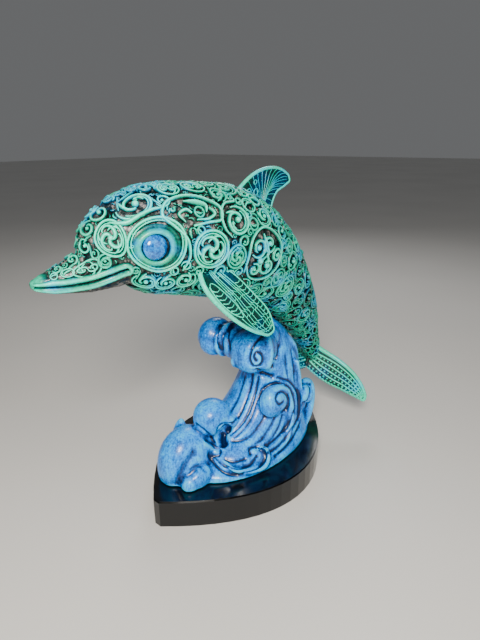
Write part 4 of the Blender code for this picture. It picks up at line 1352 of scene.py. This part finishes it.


# Each crease also darkens the paint along it, as painted shade.
groove, pressed, raised = np.zeros(count), np.zeros(count), np.zeros(count)
for depth, half, pixels in PRESSED:
    points = seen_line(np.array(pixels, float))
    low, high = points.min(axis=0) - 4 * half, points.max(axis=0) + 4 * half
    near = np.flatnonzero(((spots > low) & (spots < high)).all(axis=1))
    far = np.full(len(near), 1e9)
    for point in points:
        far = np.minimum(far, ((spots[near] - point) ** 2).sum(axis=1))
    off = np.sqrt(far) / half
    if depth > 0 and half > HOLLOW:
        pressed[near] = np.maximum(pressed[near], depth * np.exp(-(off**2)))
        groove[near] = np.maximum(groove[near], min(1.0, 0.2 * depth) * np.exp(-((0.8 * off) ** 2)))
    elif depth > 0:
        pressed[near] = np.maximum(pressed[near], 1.2 * depth * np.exp(-0.78 * off))
        groove[near] = np.maximum(groove[near], min(1.0, 0.4 + 0.3 * depth) * np.exp(-(1.35 * off) ** 2))
    else:
        raised[near] = np.maximum(raised[near], -depth * np.exp(-(off**2)))

# Flow lines all round the bulk and the neck, which wind a little as they rise. They are strong on
# the far side, and faint on the side that has the drawn creases.
FLOW_LINES = 15
FLOW_DEPTH = 0.9
CREST_HEIGHT = 98
rise = np.clip((spots[:, 2] - PLINTH_TOP) / CREST_HEIGHT, 0, 1)
middle_x = np.interp(rise, [0, 0.3, 0.6, 1], [5, 22, 29, 20])
round_bulk = np.arctan2(spots[:, 1] + 4, spots[:, 0] - middle_x)
hidden = np.clip((away @ np.array([0.0, 1.0, 0.0])) * 1.5 + 0.2, 0.08, 1.0)
flow = np.sin(round_bulk * FLOW_LINES + 5.0 * np.sin(rise * 3.0) + 0.6 * np.sin(spots[:, 2] * 0.11))
upright = np.clip(1.2 - np.abs(away[:, 2]) * 1.5, 0, 1)
flow_press = np.clip(-flow - 0.35, 0, 1) * hidden * upright
pressed = np.maximum(pressed, FLOW_DEPTH * flow_press)
# The flow lines get painted shade along them as well.
groove = np.maximum(groove, 0.7 * flow_press)
spots = spots + away * (raised - pressed)[:, None]

# The belly's seat: the casting keeps under the hide where the dolphin lies on it.
SEAT_FROM = 88
SEAT_GAP = 0.1
tree = kdtree.KDTree(len(skin))
for number, point in enumerate(skin):
    tree.insert(Vector(point), number)
tree.balance()
for number in np.flatnonzero(spots[:, 2] > SEAT_FROM):
    nearest = tree.find(Vector(spots[number]))[1]
    over = float(np.dot(spots[number] - skin[nearest], out_of_hide[nearest]))
    if over < SEAT_GAP:
        spots[number] += out_of_hide[nearest] * (SEAT_GAP - over)
spots[:, 2] = np.maximum(spots[:, 2], PLINTH_TOP)

# How far each point stands out of its neighbours, read over a few steps of the net. The paint uses it:
# paler on the swells, partly brushed paint and partly painted highlight, and darker in the hollows as
# painted shade.
CROWN_STEPS = 6
level = spots.copy()
for step in range(CROWN_STEPS):
    total, links = np.zeros_like(level), np.zeros(count)
    np.add.at(total, ends[:, 0], level[ends[:, 1]])
    np.add.at(total, ends[:, 1], level[ends[:, 0]])
    np.add.at(links, ends[:, 0], 1)
    np.add.at(links, ends[:, 1], 1)
    level = total / links[:, None]
crown = np.clip(((spots - level) * away).sum(axis=1) * 2.2, -1, 1)

mesh.vertices.foreach_set("co", (spots * MM).reshape(-1))
for tone, values in (("groove", np.clip(groove, 0, 1)), ("crown", crown)):
    layer = mesh.attributes.new(tone, "FLOAT", "POINT").data
    layer.foreach_set("value", values.astype(np.float32))
mesh.update()

# Painted resin in three blues: a mid blue, deep blue painted shade in the pressed lines, and pale blue
# over the swells, partly dry-brushed paint and partly painted highlight, under a satin varnish.
sea, shader = finish_named("sea blue painted resin")
place = add(sea, "ShaderNodeTexCoord").outputs["Object"]
groove_value = add(sea, "ShaderNodeAttribute", {"attribute_name": "groove"}).outputs["Fac"]
crown_value = add(sea, "ShaderNodeAttribute", {"attribute_name": "crown"}).outputs["Fac"]
fine = add(sea, "ShaderNodeTexNoise", Vector=place, Scale=1 / (1.1 * MM), Detail=4.0, Roughness=0.7)
broad = add(sea, "ShaderNodeTexNoise", Vector=place, Scale=1 / (11 * MM), Detail=3.0, Roughness=0.55)
mapping = add(sea, "ShaderNodeMapping", Vector=place, Scale=(1.0, 1.0, 0.22))
brushed = add(
    sea, "ShaderNodeTexNoise", Vector=mapping.outputs["Vector"], Scale=1 / (1.4 * MM), Detail=5.0,
    Roughness=0.7,
)
tone = -0.66
# Noise and brush strokes vary the tone; crown adds painted highlight on the swells and painted shade in the
# hollows, and groove adds painted shade in the creases.
for source, share in (
    (fine.outputs["Fac"], 0.85), (broad.outputs["Fac"], 0.8), (brushed.outputs["Fac"], 1.0),
    (crown_value, 0.5), (groove_value, -0.24),
):
    tone = add(sea, "ShaderNodeMath", {"operation": "MULTIPLY_ADD"}, i0=source, i1=share, i2=tone)
    tone = tone.outputs[0]
height = add(sea, "ShaderNodeSeparateXYZ", Vector=place).outputs["Z"]
# The crest gets painted shadow, darker than the foot, where the dolphin above shades it.
deeper = add(
    sea, "ShaderNodeMapRange", Value=height, From_Min=0.085, From_Max=0.112, To_Min=0.0, To_Max=-0.14,
)
tone = add(sea, "ShaderNodeMath", {"operation": "ADD"}, i0=tone, i1=deeper.outputs[0])
SEA_BLUES = ((0.2, "#001a40"), (0.45, "#004690"), (0.66, "#0074d4"), (0.84, "#009cff"), (1.0, "#30c4ff"))
sea_tone = add(sea, "ShaderNodeValToRGB", stops=SEA_BLUES, Fac=tone.outputs[0])
sea.node_tree.links.new(sea_tone.outputs["Color"], shader.inputs["Base Color"])
sheen = add(
    sea, "ShaderNodeMapRange", Value=fine.outputs["Fac"], From_Min=0.35, From_Max=0.7,
    To_Min=0.26, To_Max=0.42,
)
sea.node_tree.links.new(sheen.outputs["Result"], shader.inputs["Roughness"])
strokes = add(sea, "ShaderNodeBump", Height=brushed.outputs["Fac"], Strength=0.25, Distance=0.3 * MM)
sea.node_tree.links.new(strokes.outputs["Normal"], shader.inputs["Normal"])
shader.inputs["Specular IOR Level"].default_value = 0.35
shader.inputs["Coat Weight"].default_value = 0.22
shader.inputs["Coat Roughness"].default_value = 0.1

mesh.materials.clear()
mesh.materials.append(sea)
mesh.shade_smooth()
wave = bpy.data.objects.new("wave_casting", mesh)
bpy.context.scene.collection.objects.link(wave)
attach(wave, "root")
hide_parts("wave")


# The floor and the lamps
# A plain pale floor and soft studio light: a broad key from the upper left, a low fill and a rim.

floor_finish, shader = finish_named("pale studio floor")
place = add(floor_finish, "ShaderNodeTexCoord").outputs["Object"]
clouding = add(floor_finish, "ShaderNodeTexNoise", Vector=place, Scale=3.0, Detail=2.0)
FLOOR_TONES = ((0.3, "#cfcdc9"), (0.7, "#d6d4d0"))
floor_tone = add(floor_finish, "ShaderNodeValToRGB", stops=FLOOR_TONES, Fac=clouding.outputs["Fac"])
floor_finish.node_tree.links.new(floor_tone.outputs["Color"], shader.inputs["Base Color"])
shader.inputs["Roughness"].default_value = 0.7

mesh = bpy.data.meshes.new("floor")
FLOOR_REACH = 6.0
corners = [(x * FLOOR_REACH, y * FLOOR_REACH, 0) for x, y in ((-1, -1), (1, -1), (1, 1), (-1, 1))]
mesh.from_pydata(corners, [], [(0, 1, 2, 3)])
mesh.materials.append(floor_finish)
ground = bpy.data.objects.new("floor", mesh)
bpy.context.scene.collection.objects.link(ground)


def lamp(name, at, aim, size, watts, colour):
    """A round soft lamp at a place in metres, turned towards its aim."""
    light = bpy.data.lights.new(name, "AREA")
    light.shape = "DISK"
    light.size = size
    light.energy = watts
    light.color = linear(colour)[:3]
    made = bpy.data.objects.new(name, light)
    made.location = at
    made.rotation_euler = (Vector(aim) - Vector(at)).to_track_quat("-Z", "Y").to_euler()
    bpy.context.scene.collection.objects.link(made)


lamp("key", (-0.37, -0.29, 0.42), (-0.05, 0, 0.14), 0.18, 5.9, "#fff8ee")
lamp("fill", (0.1, -0.9, 0.4), (0, 0, 0.1), 0.6, 1.4, "#eef4ff")
lamp("rim", (0.55, 0.35, 0.6), (0, 0, 0.12), 0.35, 1.8, "#ffffff")
room = bpy.data.worlds.new("studio")
room.use_nodes = True
room.node_tree.nodes["Background"].inputs["Color"].default_value = linear("#c4c6c8")
room.node_tree.nodes["Background"].inputs["Strength"].default_value = 0.25
bpy.context.scene.world = room
